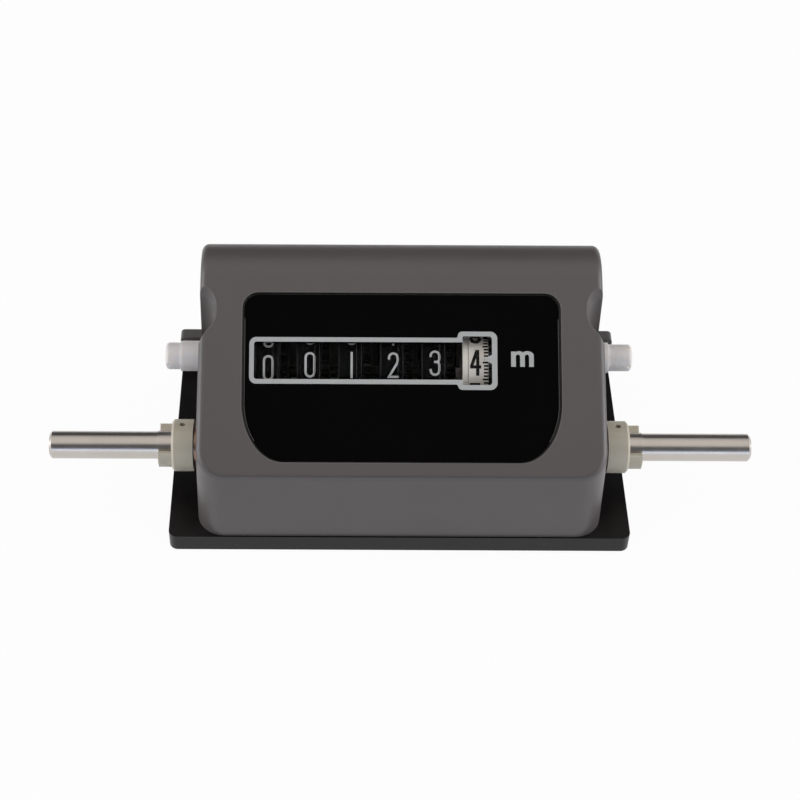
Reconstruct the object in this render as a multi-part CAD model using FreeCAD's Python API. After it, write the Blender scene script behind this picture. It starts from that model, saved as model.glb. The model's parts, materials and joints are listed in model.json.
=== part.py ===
import FreeCAD, Part
import math
import os

# Cable length counter: a drive shaft turns a train of number wheels under a
# sloping window. All sizes are in millimetres. X runs along the drive shaft,
# Y from the front of the base to its rear, Z upwards from its underside.

# Base, a flat plate with a low wall along its rear edge
base_side_margin = 7.3
base_thickness = 5.0
base_corner_radius = 2.2
upstand_thickness = 3.2
upstand_height = 11.2
upstand_corner_radius = 1.2
mount_spacing_x = 50.0
mount_spacing_y = 40.0
mount_hole_radius = 2.0

# Housing
housing_wall = 2.4
housing_side_room = 12.7
housing_front_gap = 0.5
housing_rear_room = 12.0
housing_rear_gap = 0.4
front_wall_height = 21.8
face_tilt = 34.0
draft_angle = 1.2
rear_round_radius = 10.0
corner_radius = 7.0
rim_radius = 1.8
post_radius = 3.0
post_height = 10.0
post_inset_x = 5.2
post_inset_y = 7.6

# Fascia and window, placed on the sloping face
fascia_side_reach = 1.0
fascia_height = 42.6
fascia_low_edge = 3.9
fascia_top_radius = 4.0
fascia_bottom_reach = (10.4, 15.0)
fascia_thickness = 1.2
fascia_sink = 0.7
fascia_gap = 0.45
ledge_width = 2.2
ledge_thickness = 1.3
window_slope = 29.25
window_height = 9.5
window_left_gap = 0.1
unit_window_left_gap = 0.15
unit_window_right_gap = 0.65
unit_window_height = 12.5
window_corner = 0.8
lens_gap = 0.04

# Number wheels, counted from the white one on the right
wheel_window_gap = 0.65
wheel_radius = 13.45
wheel_width = 6.2
unit_wheel_width = 6.4
wheel_pitch = 10.35
first_wheel_x = 18.45
rim_thickness = 1.8
web_thickness = 1.6
hub_radius = 3.4
rim_groove_depth = 0.3
rim_groove_width = 0.25
rim_flange_width = 1.25
shown_digits = [4, 3, 2, 1, 0, 0]
carry_tooth_width = 1.7
carry_tooth_spread = 9.0
carry_tooth_gap = 0.45
carry_turn = 9.5
digit_step = 36.0

# Gears
pressure_angle = 25.0
addendum_share = 0.7
dedendum_share = 1.0
backlash = 0.12
drive_teeth = 16
unit_teeth = 32
unit_gear_inset = 0.09
drive_gear_width = 2.5
carry_teeth = 20
pinion_teeth = 8
carry_gear_width = 2.0
pinion_width = 1.8
pinion_direction = -60.0
reset_module = 0.5
reset_teeth = 10
reset_gear_width = 1.8
reset_direction = 83.0

# Shafts and their running clearance
drive_shaft_radius = 3.5
drive_shaft_length = 177.0
drive_shaft_height = 19.888
shaft_chamfer = 0.6
journal_step = 0.2
shoulder_gap = 0.3
wheel_shaft_radius = 1.5
pinion_shaft_radius = 1.0
stub_shaft_radius = 1.0
running_clearance = 0.04
side_clearance = 0.2
pinion_hub_radius = 1.6
pinion_hub_gap = 0.35
drive_hub_radius = 5.2
drive_hub_width = 5.0
grub_screw_radius = 1.25
grub_screw_sink = 0.3
clip_radius = 4.6
clip_thickness = 0.8
clip_groove_depth = 0.5

# Frame that carries the wheels
frame_wheel_gap = 0.4
frame_thickness = 1.5
frame_inner_gap = 2.2
foot_width = 6.4
foot_length = 30.0
foot_screw_inset = 5.0
tie_rod_radius = 2.0
tie_rod_front_gap = 3.1
tie_rod_front_direction = 244.2
tie_rod_rear_gap = 3.5
tie_rod_rear_direction = -31.2
tie_rod_top_gap = 2.3
tie_rod_top_direction = 35.5
tie_screw_radius = 1.1
tie_screw_head_radius = 2.1
tie_screw_head_height = 1.4
tie_screw_depth = 6.0

# Shaft bushes and collars
bush_radius = 4.8
bush_flange_radius = 6.2
bush_flange_thickness = 1.2
bush_inner_reach = 0.4
bush_outer_reach = 0.9
bush_hole_gap = 0.15
collar_radius = 6.6
collar_width = 5.4
collar_gap = 0.25
collar_chamfer = 0.5
dog_inner_radius = 3.85
dog_outer_radius = 5.7
dog_spread = 26.0
dog_length = 3.4
pin_radius = 0.75
pin_sink = 1.3
pin_lean = -11.0

# Reset knobs in their finger hollows
knob_radius = 3.85
knob_tip_radius = 3.4
knob_neck_radius = 2.6
knob_gap = 0.1
knob_pocket_gap = 0.3
knob_left_body = 9.45
knob_left_tip = 3.8
knob_right_body = 6.45
knob_right_tip = 6.0
knob_end_rounding = 0.9
knob_slot_width = 1.0
knob_slot_depth = 1.1
hollow_radius = 4.5
hollow_depth = 4.6
hollow_shift = 0.9
hollow_ramp_angle = 45.0
hollow_floor = 29.0
hollow_bevel_angle = 14.0
hollow_bevel_rise = 0.3

# Screws from below, countersunk into the base
base_screw_radius = 1.5
base_screw_head_radius = 2.9
base_screw_head_height = 1.6
base_screw_engagement = 1.5
cover_screw_engagement = 6.0
screw_hole_gap = 0.1
drive_slot_width = 0.7
drive_slot_depth = 0.6

tilt = math.radians(face_tilt)
draft = math.radians(draft_angle)
housing_front = housing_front_gap
face_foot_y = housing_front + front_wall_height * math.tan(draft)
face_foot_z = base_thickness + front_wall_height
journal_radius = drive_shaft_radius + journal_step
OVERSIZE = 200.0
# Pull that bends a curve with two handles into a quarter of a circle or an ellipse
ROUND_PULL = 0.5523


def vec(x, y, z):
    return FreeCAD.Vector(x, y, z)


def face_place(slope, depth=0.0):
    """Y and Z of a point up the sloping face and below its surface."""
    y = face_foot_y + slope * math.cos(tilt) + depth * math.sin(tilt)
    z = face_foot_z + slope * math.sin(tilt) - depth * math.cos(tilt)
    return y, z


def polar(centre, radius, degrees):
    """Y and Z of a point around an axis along X."""
    angle = math.radians(degrees)
    return centre[0] + radius * math.cos(angle), centre[1] + radius * math.sin(angle)


def axis_in_front(axis, distance, height):
    """An axis at a height, in front of another one at a distance from it."""
    drop = axis[1] - height
    return axis[0] - math.sqrt(distance ** 2 - drop ** 2), height


# The white wheel's gear stays inside its rim, and the pinions' hubs run just outside the rims
drive_module = 2 * (wheel_radius - unit_gear_inset) / (unit_teeth + 2 * addendum_share)
carry_module = 2 * (wheel_radius + pinion_hub_radius + pinion_hub_gap) / (carry_teeth + pinion_teeth)
wheel_depth = fascia_sink + fascia_thickness + wheel_window_gap + wheel_radius
wheel_axis = face_place(window_slope, wheel_depth)
drive_axis = axis_in_front(wheel_axis, drive_module * (drive_teeth + unit_teeth) / 2, drive_shaft_height)
drive_direction = math.degrees(math.atan2(drive_axis[1] - wheel_axis[1], drive_axis[0] - wheel_axis[0]))
pinion_axis = polar(wheel_axis, carry_module * (carry_teeth + pinion_teeth) / 2, pinion_direction)
knob_axis = polar(wheel_axis, reset_module * reset_teeth, reset_direction)

# Widths and depths that follow from the row of wheels
last_wheel_left = first_wheel_x - (len(shown_digits) - 1) * wheel_pitch - wheel_width / 2
frame_half_span = carry_tooth_width + frame_wheel_gap - last_wheel_left
frame_outer = frame_half_span + frame_thickness
fascia_width = 2 * (frame_half_span + fascia_side_reach)
housing_width = 2 * (frame_half_span + housing_side_room)
housing_rear = wheel_axis[0] + wheel_radius + housing_rear_room
base_width = housing_width + 2 * base_side_margin
base_depth = housing_rear + housing_rear_gap + upstand_thickness
window_left = last_wheel_left - window_left_gap
unit_window_left = first_wheel_x - unit_wheel_width / 2 - unit_window_left_gap
unit_window_right = first_wheel_x + unit_wheel_width / 2 + unit_window_right_gap
tie_rod_places = {
    "front": polar(drive_axis, drive_module * (drive_teeth / 2 + addendum_share) + tie_rod_radius
                   + tie_rod_front_gap, tie_rod_front_direction),
    "rear": polar(pinion_axis, carry_module * (pinion_teeth / 2 + addendum_share) + tie_rod_radius
                  + tie_rod_rear_gap, tie_rod_rear_direction),
    "top": polar(wheel_axis, wheel_radius + tie_rod_radius + tie_rod_top_gap, tie_rod_top_direction),
}


def rod_x(radius, x_low, x_high, axis):
    """A round bar along X."""
    return Part.makeCylinder(radius, x_high - x_low, vec(x_low, *axis), vec(1, 0, 0))


def ring_x(outer, inner, x_low, x_high, axis):
    return rod_x(outer, x_low, x_high, axis).cut(rod_x(inner, x_low, x_high, axis))


def rod_z(radius, x, y, z_low, z_high):
    return Part.makeCylinder(radius, z_high - z_low, vec(x, y, z_low))


def block(x_low, x_high, y_low, y_high, z_low, z_high):
    return Part.makeBox(x_high - x_low, y_high - y_low, z_high - z_low, vec(x_low, y_low, z_low))


def turned(shape, axis, degrees):
    """The shape turned about an axis along X."""
    copy = shape.copy()
    copy.rotate(vec(0, *axis), vec(1, 0, 0), degrees)
    return copy


def mirrored(shape):
    """The same piece for the other side of the counter."""
    return shape.mirror(vec(0, 0, 0), vec(1, 0, 0))


def extruded_profile(points, x_low, x_high):
    """A flat outline of Y and Z points, drawn out along X."""
    corners = [vec(x_low, y, z) for y, z in points]
    outline = Part.makePolygon(corners + corners[:1])
    return Part.Face(outline).extrude(vec(x_high - x_low, 0, 0))


def involute_point(base, radius, half_at_base):
    """Angle of the tooth flank at a radius outside the base circle."""
    roll = math.sqrt(max((radius / base) ** 2 - 1, 0))
    return half_at_base - (roll - math.atan(roll))


def gear_outline(module, teeth, centre, phase):
    """Closed outline of a spur gear with a tooth centred on the phase angle."""
    pitch = module * teeth / 2
    tip = pitch + addendum_share * module
    root = pitch - dedendum_share * module
    base = pitch * math.cos(math.radians(pressure_angle))
    pitch_half = (math.pi * module / 2 - backlash) / (2 * pitch)
    roll_at_pitch = math.tan(math.radians(pressure_angle)) - math.radians(pressure_angle)
    half_at_base = pitch_half + roll_at_pitch
    start = max(base, root)
    middle = (start + tip) / 2

    def at(radius, angle):
        y = centre[0] + radius * math.cos(angle)
        z = centre[1] + radius * math.sin(angle)
        return vec(0, y, z)

    edges = []
    step = 2 * math.pi / teeth
    for index in range(teeth):
        mid = math.radians(phase) + index * step
        rise = []
        fall = []
        for radius in (start, middle, tip):
            half = involute_point(base, radius, half_at_base)
            rise.append(at(radius, mid - half))
            fall.append(at(radius, mid + half))
        foot = at(root, mid - half_at_base)
        heel = at(root, mid + half_at_base)
        next_foot = at(root, mid + step - half_at_base)
        if start > root:
            edges.append(Part.LineSegment(foot, rise[0]).toShape())
        edges.append(Part.Arc(rise[0], rise[1], rise[2]).toShape())
        edges.append(Part.Arc(rise[2], at(tip, mid), fall[2]).toShape())
        edges.append(Part.Arc(fall[2], fall[1], fall[0]).toShape())
        if start > root:
            edges.append(Part.LineSegment(fall[0], heel).toShape())
        valley = at(root, mid + step / 2)
        if start > root:
            edges.append(Part.Arc(heel, valley, next_foot).toShape())
        else:
            half = involute_point(base, start, half_at_base)
            edges.append(Part.Arc(fall[0], valley, at(start, mid + step - half)).toShape())
    return Part.Wire(edges)


def gear(module, teeth, centre, phase, x_low, x_high, bore):
    outline = gear_outline(module, teeth, centre, phase)
    outline.translate(vec(x_low, 0, 0))
    body = Part.Face(outline).extrude(vec(x_high - x_low, 0, 0))
    return body.cut(rod_x(bore, x_low - 1, x_high + 1, centre))


def meet(line_a, line_b, inset_a, inset_b):
    """Where two straight sides cross once each is moved inwards."""
    reach_a = line_a[2] * line_a[0] + line_a[3] * line_a[1] - inset_a
    reach_b = line_b[2] * line_b[0] + line_b[3] * line_b[1] - inset_b
    scale = line_a[2] * line_b[3] - line_a[3] * line_b[2]
    y = (reach_a * line_b[3] - reach_b * line_a[3]) / scale
    z = (line_a[2] * reach_b - line_b[2] * reach_a) / scale
    return y, z


def housing_half_width(height, inset=0.0):
    """Half the width of the housing at a height, less an inset."""
    lean = math.tan(draft) * (height - base_thickness)
    return housing_width / 2 - lean - inset / math.cos(draft)


def housing_prism(inset, floor):
    """The housing's form with sharp edges, moved inwards by the inset."""
    front = (housing_front, base_thickness, -math.cos(draft), math.sin(draft))
    rear = (housing_rear, base_thickness, math.cos(draft), math.sin(draft))
    face = (face_foot_y, face_foot_z, -math.sin(tilt), math.cos(tilt))
    bottom = (0.0, floor, 0.0, -1.0)
    centre = meet(face, rear, rear_round_radius, rear_round_radius)
    radius = rear_round_radius - inset
    face_degrees = 90 + face_tilt
    rear_degrees = draft_angle
    points = [
        meet(bottom, front, 0, inset),
        meet(front, face, inset, inset),
        polar(centre, radius, face_degrees),
        polar(centre, radius, (face_degrees + rear_degrees) / 2),
        polar(centre, radius, rear_degrees),
        meet(rear, bottom, inset, 0),
    ]
    low_front, high_front, arc_start, arc_middle, arc_end, low_rear = [
        vec(-OVERSIZE / 2, y, z) for y, z in points
    ]
    outline = Part.Wire([
        Part.LineSegment(low_front, high_front).toShape(),
        Part.LineSegment(high_front, arc_start).toShape(),
        Part.Arc(arc_start, arc_middle, arc_end).toShape(),
        Part.LineSegment(arc_end, low_rear).toShape(),
        Part.LineSegment(low_rear, low_front).toShape(),
    ])
    profile = Part.Face(outline).extrude(vec(OVERSIZE, 0, 0))
    top = face_foot_z + base_depth
    low_half = housing_half_width(floor, inset)
    top_half = housing_half_width(top, inset)
    sides = Part.makePolygon([
        vec(-low_half, -OVERSIZE / 2, floor),
        vec(low_half, -OVERSIZE / 2, floor),
        vec(top_half, -OVERSIZE / 2, top),
        vec(-top_half, -OVERSIZE / 2, top),
        vec(-low_half, -OVERSIZE / 2, floor),
    ])
    return profile.common(Part.Face(sides).extrude(vec(0, OVERSIZE, 0)))


def housing_block(inset, floor):
    """The prism with its two upright front edges rounded."""
    shape = housing_prism(inset, floor)
    uprights = []
    for edge in shape.Edges:
        ends = [vertex.Point for vertex in edge.Vertexes]
        height = abs(ends[0].z - ends[-1].z)
        if height > front_wall_height / 2 and edge.CenterOfMass.y < corner_radius:
            uprights.append(edge)
    return shape.makeFillet(corner_radius - inset, uprights)


def rounded_rim(shape):
    """Rounds the edge all round the sloping face, the top and the rear."""
    rim = []
    for edge in shape.Edges:
        middle = edge.valueAt((edge.FirstParameter + edge.LastParameter) / 2)
        slope = (middle.y - face_foot_y) * math.cos(tilt) + (middle.z - face_foot_z) * math.sin(tilt)
        depth = (middle.y - face_foot_y) * math.sin(tilt) - (middle.z - face_foot_z) * math.cos(tilt)
        on_face = abs(depth) < 0.01 and slope < fascia_low_edge + fascia_height
        if on_face:
            rim.append(edge)
    return shape.makeFillet(rim_radius, rim)


def shield(inset, top_depth, bottom_depth):
    """A plate shaped like the fascia's pocket less an inset, under the sloping face."""
    half = fascia_width / 2 - inset
    low = fascia_low_edge + inset
    high = fascia_low_edge + fascia_height - inset
    top = fascia_top_radius - max(inset, 0) / 2
    reach_x, reach_slope = [reach - inset for reach in fascia_bottom_reach]
    corners = [
        ((half, high - top), (half, high), (half - top, high)),
        ((-half + top, high), (-half, high), (-half, high - top)),
        ((-half, low + reach_slope), (-half, low), (-half + reach_x, low)),
        ((half - reach_x, low), (half, low), (half, low + reach_slope)),
    ]
    return face_slab(corners, top_depth, bottom_depth)


def face_slab(corners, top_depth, bottom_depth):
    """A slab under the sloping face, with a start, a sharp point and an end for each round corner."""
    def placed(point):
        return vec(point[0], *face_place(point[1], top_depth))

    edges = []
    for index, corner in enumerate(corners):
        start, sharp, end = [placed(point) for point in corner]
        following = placed(corners[(index + 1) % len(corners)][0])
        bend = Part.BezierCurve()
        bend.setPoles([start, start + (sharp - start) * ROUND_PULL, end + (sharp - end) * ROUND_PULL, end])
        edges.append(bend.toShape())
        edges.append(Part.LineSegment(end, following).toShape())
    thickness = bottom_depth - top_depth
    down = vec(0, thickness * math.sin(tilt), -thickness * math.cos(tilt))
    return Part.Face(Part.Wire(edges)).extrude(down)


def face_rectangle(x_low, x_high, height, gap, top_depth, bottom_depth):
    """A round-cornered rectangle centred on the window's height."""
    radius = window_corner
    low = window_slope - height / 2 + gap
    high = window_slope + height / 2 - gap
    left = x_low + gap
    right = x_high - gap
    corners = [
        ((right, high - radius), (right, high), (right - radius, high)),
        ((left + radius, high), (left, high), (left, high - radius)),
        ((left, low + radius), (left, low), (left + radius, low)),
        ((right - radius, low), (right, low), (right, low + radius)),
    ]
    return face_slab(corners, top_depth, bottom_depth)


def window_slab(gap, top_depth, bottom_depth):
    """The long window joined with the taller one over the white wheel."""
    long_part = face_rectangle(window_left, unit_window_right, window_height, gap, top_depth, bottom_depth)
    tall_part = face_rectangle(unit_window_left, unit_window_right, unit_window_height, gap,
                               top_depth, bottom_depth)
    return long_part.fuse(tall_part).removeSplitter()


def foot_span():
    """Front and rear end of the frame's feet, midway in the housing."""
    middle = (housing_front + housing_rear) / 2
    return middle - foot_length / 2, middle + foot_length / 2


def foot_screw_places():
    x = frame_outer + foot_width / 2
    front, rear = foot_span()
    for side in (-1, 1):
        for y in (front + foot_screw_inset, rear - foot_screw_inset):
            yield side * x, y


def cover_screw_places():
    x = housing_width / 2 - post_inset_x
    for side in (-1, 1):
        for y in (housing_front + post_inset_y, housing_rear - post_inset_y):
            yield side * x, y


def mount_places():
    for x in (-mount_spacing_x / 2, mount_spacing_x / 2):
        for y in (base_depth / 2 - mount_spacing_y / 2, base_depth / 2 + mount_spacing_y / 2):
            yield x, y


def countersunk_screw(x, y, length, gap=0.0):
    """A countersunk screw from below, or the hole for it with a gap."""
    shank = rod_z(base_screw_radius + gap, x, y, 0, length)
    head = Part.makeCone(base_screw_head_radius + gap, base_screw_radius + gap,
                         base_screw_head_height, vec(x, y, 0))
    screw = shank.fuse(head)
    if gap == 0:
        slot = block(x - base_screw_head_radius, x + base_screw_head_radius,
                     y - drive_slot_width / 2, y + drive_slot_width / 2, 0, drive_slot_depth)
        screw = screw.cut(slot)
    return screw


def make_base_plate():
    plate = block(-base_width / 2, base_width / 2, 0, base_depth, 0, base_thickness)
    upstand_front = base_depth - upstand_thickness
    upstand = block(-base_width / 2, base_width / 2, upstand_front, base_depth,
                    base_thickness, base_thickness + upstand_height)
    front_corners = []
    for edge in plate.Edges:
        upright = abs(edge.Vertexes[0].Point.z - edge.Vertexes[-1].Point.z) > base_thickness / 2
        if upright and edge.CenterOfMass.y < base_depth / 2:
            front_corners.append(edge)
    plate = plate.makeFillet(base_corner_radius, front_corners)
    top_corners = []
    for edge in upstand.Edges:
        along_y = abs(edge.Vertexes[0].Point.y - edge.Vertexes[-1].Point.y) > upstand_thickness / 2
        if along_y and edge.CenterOfMass.z > base_thickness + upstand_height / 2:
            top_corners.append(edge)
    upstand = upstand.makeFillet(upstand_corner_radius, top_corners)
    plate = plate.fuse(upstand).removeSplitter()
    for x, y in mount_places():
        plate = plate.cut(rod_z(mount_hole_radius, x, y, 0, base_thickness))
    for x, y in foot_screw_places():
        plate = plate.cut(countersunk_screw(x, y, base_thickness, screw_hole_gap))
    for x, y in cover_screw_places():
        plate = plate.cut(countersunk_screw(x, y, base_thickness, screw_hole_gap))
    return plate


def hollow_middle(side):
    """X and Y of the axis of a finger hollow."""
    return side * (knob_seat() + hollow_radius), knob_axis[0] + hollow_shift


def finger_hollow(side, growth, floor):
    """The upright hollow beside a reset knob: round, with a straight ramp out to the front."""
    x, y = hollow_middle(side)
    radius = hollow_radius + growth
    turn = math.radians(hollow_ramp_angle)
    reach = OVERSIZE / 8
    touch_x = x - side * radius * math.cos(turn)
    touch_y = y - radius * math.sin(turn)
    corners = [
        vec(x, y, floor),
        vec(touch_x, touch_y, floor),
        vec(touch_x + side * reach * math.sin(turn), touch_y - reach * math.cos(turn), floor),
        vec(x + side * reach, y, floor),
    ]
    ramp = Part.Face(Part.makePolygon(corners + corners[:1])).extrude(vec(0, 0, OVERSIZE / 2 - floor))
    return rod_z(radius, x, y, floor, OVERSIZE / 2).fuse(ramp)


def hollow_bevel(side):
    """A cone that opens upwards and bevels the high rear edge of a finger hollow."""
    x, y = hollow_middle(side)
    face_height = face_foot_z + (y - face_foot_y) * math.tan(tilt)
    height = OVERSIZE / 8
    top_radius = hollow_radius + height * math.tan(math.radians(hollow_bevel_angle))
    return Part.makeCone(hollow_radius, top_radius, height, vec(x, y, face_height + hollow_bevel_rise))


def knob_seat():
    """Distance from the middle to the bottom of the finger hollow."""
    return housing_half_width(knob_axis[1]) - hollow_depth


def make_housing():
    outer = rounded_rim(housing_block(0.0, base_thickness))
    inner = housing_block(housing_wall, base_thickness - housing_wall)
    shell = outer.cut(inner)
    ledge = shield(-ledge_width, fascia_sink, fascia_sink + fascia_thickness + ledge_thickness)
    shell = shell.fuse(ledge.common(outer))
    for side in (-1, 1):
        lining = finger_hollow(side, housing_wall, hollow_floor - housing_wall)
        shell = shell.fuse(lining.common(outer))
    for x, y in cover_screw_places():
        post = rod_z(post_radius, x, y, base_thickness, base_thickness + post_height)
        shell = shell.fuse(post.common(outer))
    for x, y in cover_screw_places():
        shell = shell.cut(rod_z(base_screw_radius, x, y, base_thickness,
                                base_thickness + cover_screw_engagement))
    pocket_floor = fascia_sink + fascia_thickness
    shell = shell.cut(shield(0, -housing_wall, pocket_floor))
    shell = shell.cut(shield(ledge_width, 0, pocket_floor + ledge_thickness + housing_wall))
    seat = knob_seat()
    for side in (-1, 1):
        shell = shell.cut(finger_hollow(side, 0, hollow_floor))
        shell = shell.cut(hollow_bevel(side))
        neck_hole = rod_x(knob_neck_radius + knob_gap, 0, housing_width, knob_axis)
        neck_hole = neck_hole.cut(rod_x(knob_neck_radius + knob_gap, 0, frame_outer, knob_axis))
        pocket = rod_x(knob_radius + knob_pocket_gap, seat, housing_width, knob_axis)
        bush_hole = rod_x(bush_radius + bush_hole_gap, frame_outer, housing_width, drive_axis)
        cutter = neck_hole.fuse([pocket, bush_hole])
        if side < 0:
            cutter = mirrored(cutter)
        shell = shell.cut(cutter)
    return shell.removeSplitter()


def make_fascia():
    plate = shield(fascia_gap, fascia_sink, fascia_sink + fascia_thickness)
    return plate.cut(window_slab(0.0, fascia_sink - 1, fascia_sink + fascia_thickness + 1))


def make_window_lens():
    return window_slab(lens_gap, fascia_sink, fascia_sink + fascia_thickness)


def make_frame_plate(side):
    """A side plate, cut to the housing's form, with a foot that screws to the base."""
    slice_box = block(frame_half_span, frame_outer, 0, base_depth, base_thickness, OVERSIZE)
    plate = housing_prism(housing_wall + frame_inner_gap, base_thickness).common(slice_box)
    foot = block(frame_outer, frame_outer + foot_width, *foot_span(),
                 base_thickness, base_thickness + frame_thickness)
    plate = plate.fuse(foot).removeSplitter()
    holes = [
        (drive_axis, bush_radius),
        (wheel_axis, wheel_shaft_radius + running_clearance),
        (pinion_axis, pinion_shaft_radius),
        (knob_axis, stub_shaft_radius + running_clearance),
    ]
    for place in tie_rod_places.values():
        holes.append((place, tie_screw_radius))
    for axis, radius in holes:
        plate = plate.cut(rod_x(radius, frame_half_span - 1, frame_outer + 1, axis))
    for x, y in foot_screw_places():
        if x > 0:
            plate = plate.cut(rod_z(base_screw_radius, x, y, 0, base_thickness + base_screw_engagement))
    if side < 0:
        plate = mirrored(plate)
    return plate


def make_tie_rod(place):
    rod = rod_x(tie_rod_radius, -frame_half_span, frame_half_span, place)
    for x_low, x_high in ((-frame_half_span, tie_screw_depth - frame_half_span - frame_thickness),
                          (frame_half_span + frame_thickness - tie_screw_depth, frame_half_span)):
        rod = rod.cut(rod_x(tie_screw_radius, x_low, x_high, place))
    return rod


def make_tie_rod_screws():
    screws = []
    for place in tie_rod_places.values():
        shank = rod_x(tie_screw_radius, frame_outer - tie_screw_depth, frame_outer, place)
        head = rod_x(tie_screw_head_radius, frame_outer, frame_outer + tie_screw_head_height, place)
        slot = block(frame_outer + tie_screw_head_height - drive_slot_depth,
                     frame_outer + tie_screw_head_height,
                     place[0] - tie_screw_head_radius, place[0] + tie_screw_head_radius,
                     place[1] - drive_slot_width / 2, place[1] + drive_slot_width / 2)
        screw = shank.fuse(head).removeSplitter().cut(slot)
        screws.append(screw)
        screws.append(mirrored(screw))
    return Part.makeCompound(screws)


def make_screws_from_below(places, length):
    return Part.makeCompound([countersunk_screw(x, y, length) for x, y in places])


def bush_span():
    """Inner and outer end of a shaft bush."""
    return frame_half_span - bush_inner_reach, housing_half_width(drive_axis[1]) + bush_outer_reach


def make_bush(side):
    inner, outer = bush_span()
    body = rod_x(bush_radius, inner, outer, drive_axis)
    flange = rod_x(bush_flange_radius, frame_outer, frame_outer + bush_flange_thickness, drive_axis)
    bush = body.fuse(flange).removeSplitter()
    bush = bush.cut(rod_x(journal_radius + running_clearance, inner - 1, outer + 1, drive_axis))
    if side < 0:
        bush = mirrored(bush)
    return bush


def collar_span():
    outer = bush_span()[1]
    return outer + collar_gap, outer + collar_gap + collar_width


def clip_span():
    outer = frame_half_span - bush_inner_reach - side_clearance
    return outer - clip_thickness, outer


def collar_pin(radius, side):
    """The cross pin through collar and shaft, nearly upright."""
    inner, outer = collar_span()
    x = side * (inner + outer) / 2
    reach = collar_radius - pin_sink
    pin = rod_z(radius, x, drive_axis[0], drive_axis[1] - reach, drive_axis[1] + reach)
    return turned(pin, drive_axis, pin_lean)


def make_drive_shaft():
    """A shaft with plain ends, and a slightly thicker journal between them."""
    half = drive_shaft_length / 2
    shaft = rod_x(drive_shaft_radius, -half, half, drive_axis)
    shaft = shaft.makeChamfer(shaft_chamfer, [edge for edge in shaft.Edges if edge.Closed])
    shoulder = collar_span()[1] + dog_length + shoulder_gap
    shaft = shaft.fuse(rod_x(journal_radius, -shoulder, shoulder, drive_axis)).removeSplitter()
    groove = ring_x(journal_radius + 1, journal_radius - clip_groove_depth,
                    *clip_span(), drive_axis)
    shaft = shaft.cut(groove).cut(mirrored(groove))
    for side in (-1, 1):
        shaft = shaft.cut(collar_pin(pin_radius, side))
    return shaft


def make_shaft_clips():
    clip = ring_x(clip_radius, journal_radius - clip_groove_depth, *clip_span(), drive_axis)
    low, high = clip_span()
    mouth = block(low, high, drive_axis[0] - journal_radius + clip_groove_depth,
                  drive_axis[0] + journal_radius - clip_groove_depth,
                  drive_axis[1] - clip_radius - 1, drive_axis[1])
    clip = clip.cut(mouth)
    return Part.makeCompound([clip, mirrored(clip)])


def make_collar(side):
    """A plastic collar with two coupling dogs on its outer face."""
    inner, outer = collar_span()
    collar = rod_x(collar_radius, inner, outer, drive_axis)
    outer_rim = [edge for edge in collar.Edges if edge.Closed and edge.CenterOfMass.x > outer - 0.1]
    collar = collar.makeChamfer(collar_chamfer, outer_rim)
    for middle in (0, 180):
        corners = []
        for radius, turns in ((dog_inner_radius, (-1, 1)), (dog_outer_radius, (1, -1))):
            for turn in turns:
                corners.append(polar(drive_axis, radius, middle + turn * dog_spread))
        reach = extruded_profile(corners, outer - 1, outer + dog_length)
        curved = ring_x(dog_outer_radius, dog_inner_radius, outer - 1, outer + dog_length, drive_axis)
        wedge = extruded_profile(
            [drive_axis,
             polar(drive_axis, 2 * dog_outer_radius, middle - dog_spread),
             polar(drive_axis, 2 * dog_outer_radius, middle + dog_spread)],
            outer - 1, outer + dog_length)
        collar = collar.fuse(curved.common(wedge).fuse(reach.common(curved)))
    collar = collar.cut(rod_x(journal_radius, inner - 1, outer + dog_length + 1, drive_axis))
    hole = rod_z(pin_radius, (inner + outer) / 2, drive_axis[0],
                 drive_axis[1] - OVERSIZE / 4, drive_axis[1] + OVERSIZE / 4)
    collar = collar.cut(turned(hole, drive_axis, pin_lean)).removeSplitter()
    if side < 0:
        collar = mirrored(collar)
    return collar


def gear_plane():
    """Span of the drive gears, right of the white wheel."""
    low = first_wheel_x + unit_wheel_width / 2
    return low, low + drive_gear_width


def make_drive_gear():
    low, high = gear_plane()
    phase = drive_direction + 180
    body = gear(drive_module, drive_teeth, drive_axis, phase, low, high, journal_radius)
    hub = ring_x(drive_hub_radius, journal_radius, high, high + drive_hub_width, drive_axis)
    body = body.fuse(hub).removeSplitter()
    return body.cut(grub_screw_bar(0.0, drive_hub_radius + 1))


def grub_screw_bar(low, high):
    """A bar where the grub screw sits, between two heights above the axis."""
    x = gear_plane()[1] + drive_hub_width / 2
    return rod_z(grub_screw_radius, x, drive_axis[0], drive_axis[1] + low, drive_axis[1] + high)


def make_drive_gear_screw():
    head = drive_hub_radius - grub_screw_sink
    bar = grub_screw_bar(journal_radius, head)
    x = gear_plane()[1] + drive_hub_width / 2
    top = drive_axis[1] + head
    slot = block(x - grub_screw_radius, x + grub_screw_radius,
                 drive_axis[0] - drive_slot_width / 2, drive_axis[0] + drive_slot_width / 2,
                 top - drive_slot_depth, top)
    return bar.cut(slot)


def carry_angle(digit):
    """Where a wheel's carry tooth stands while the wheel shows a digit."""
    return pinion_direction + (carry_turn - digit) * digit_step


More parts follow.
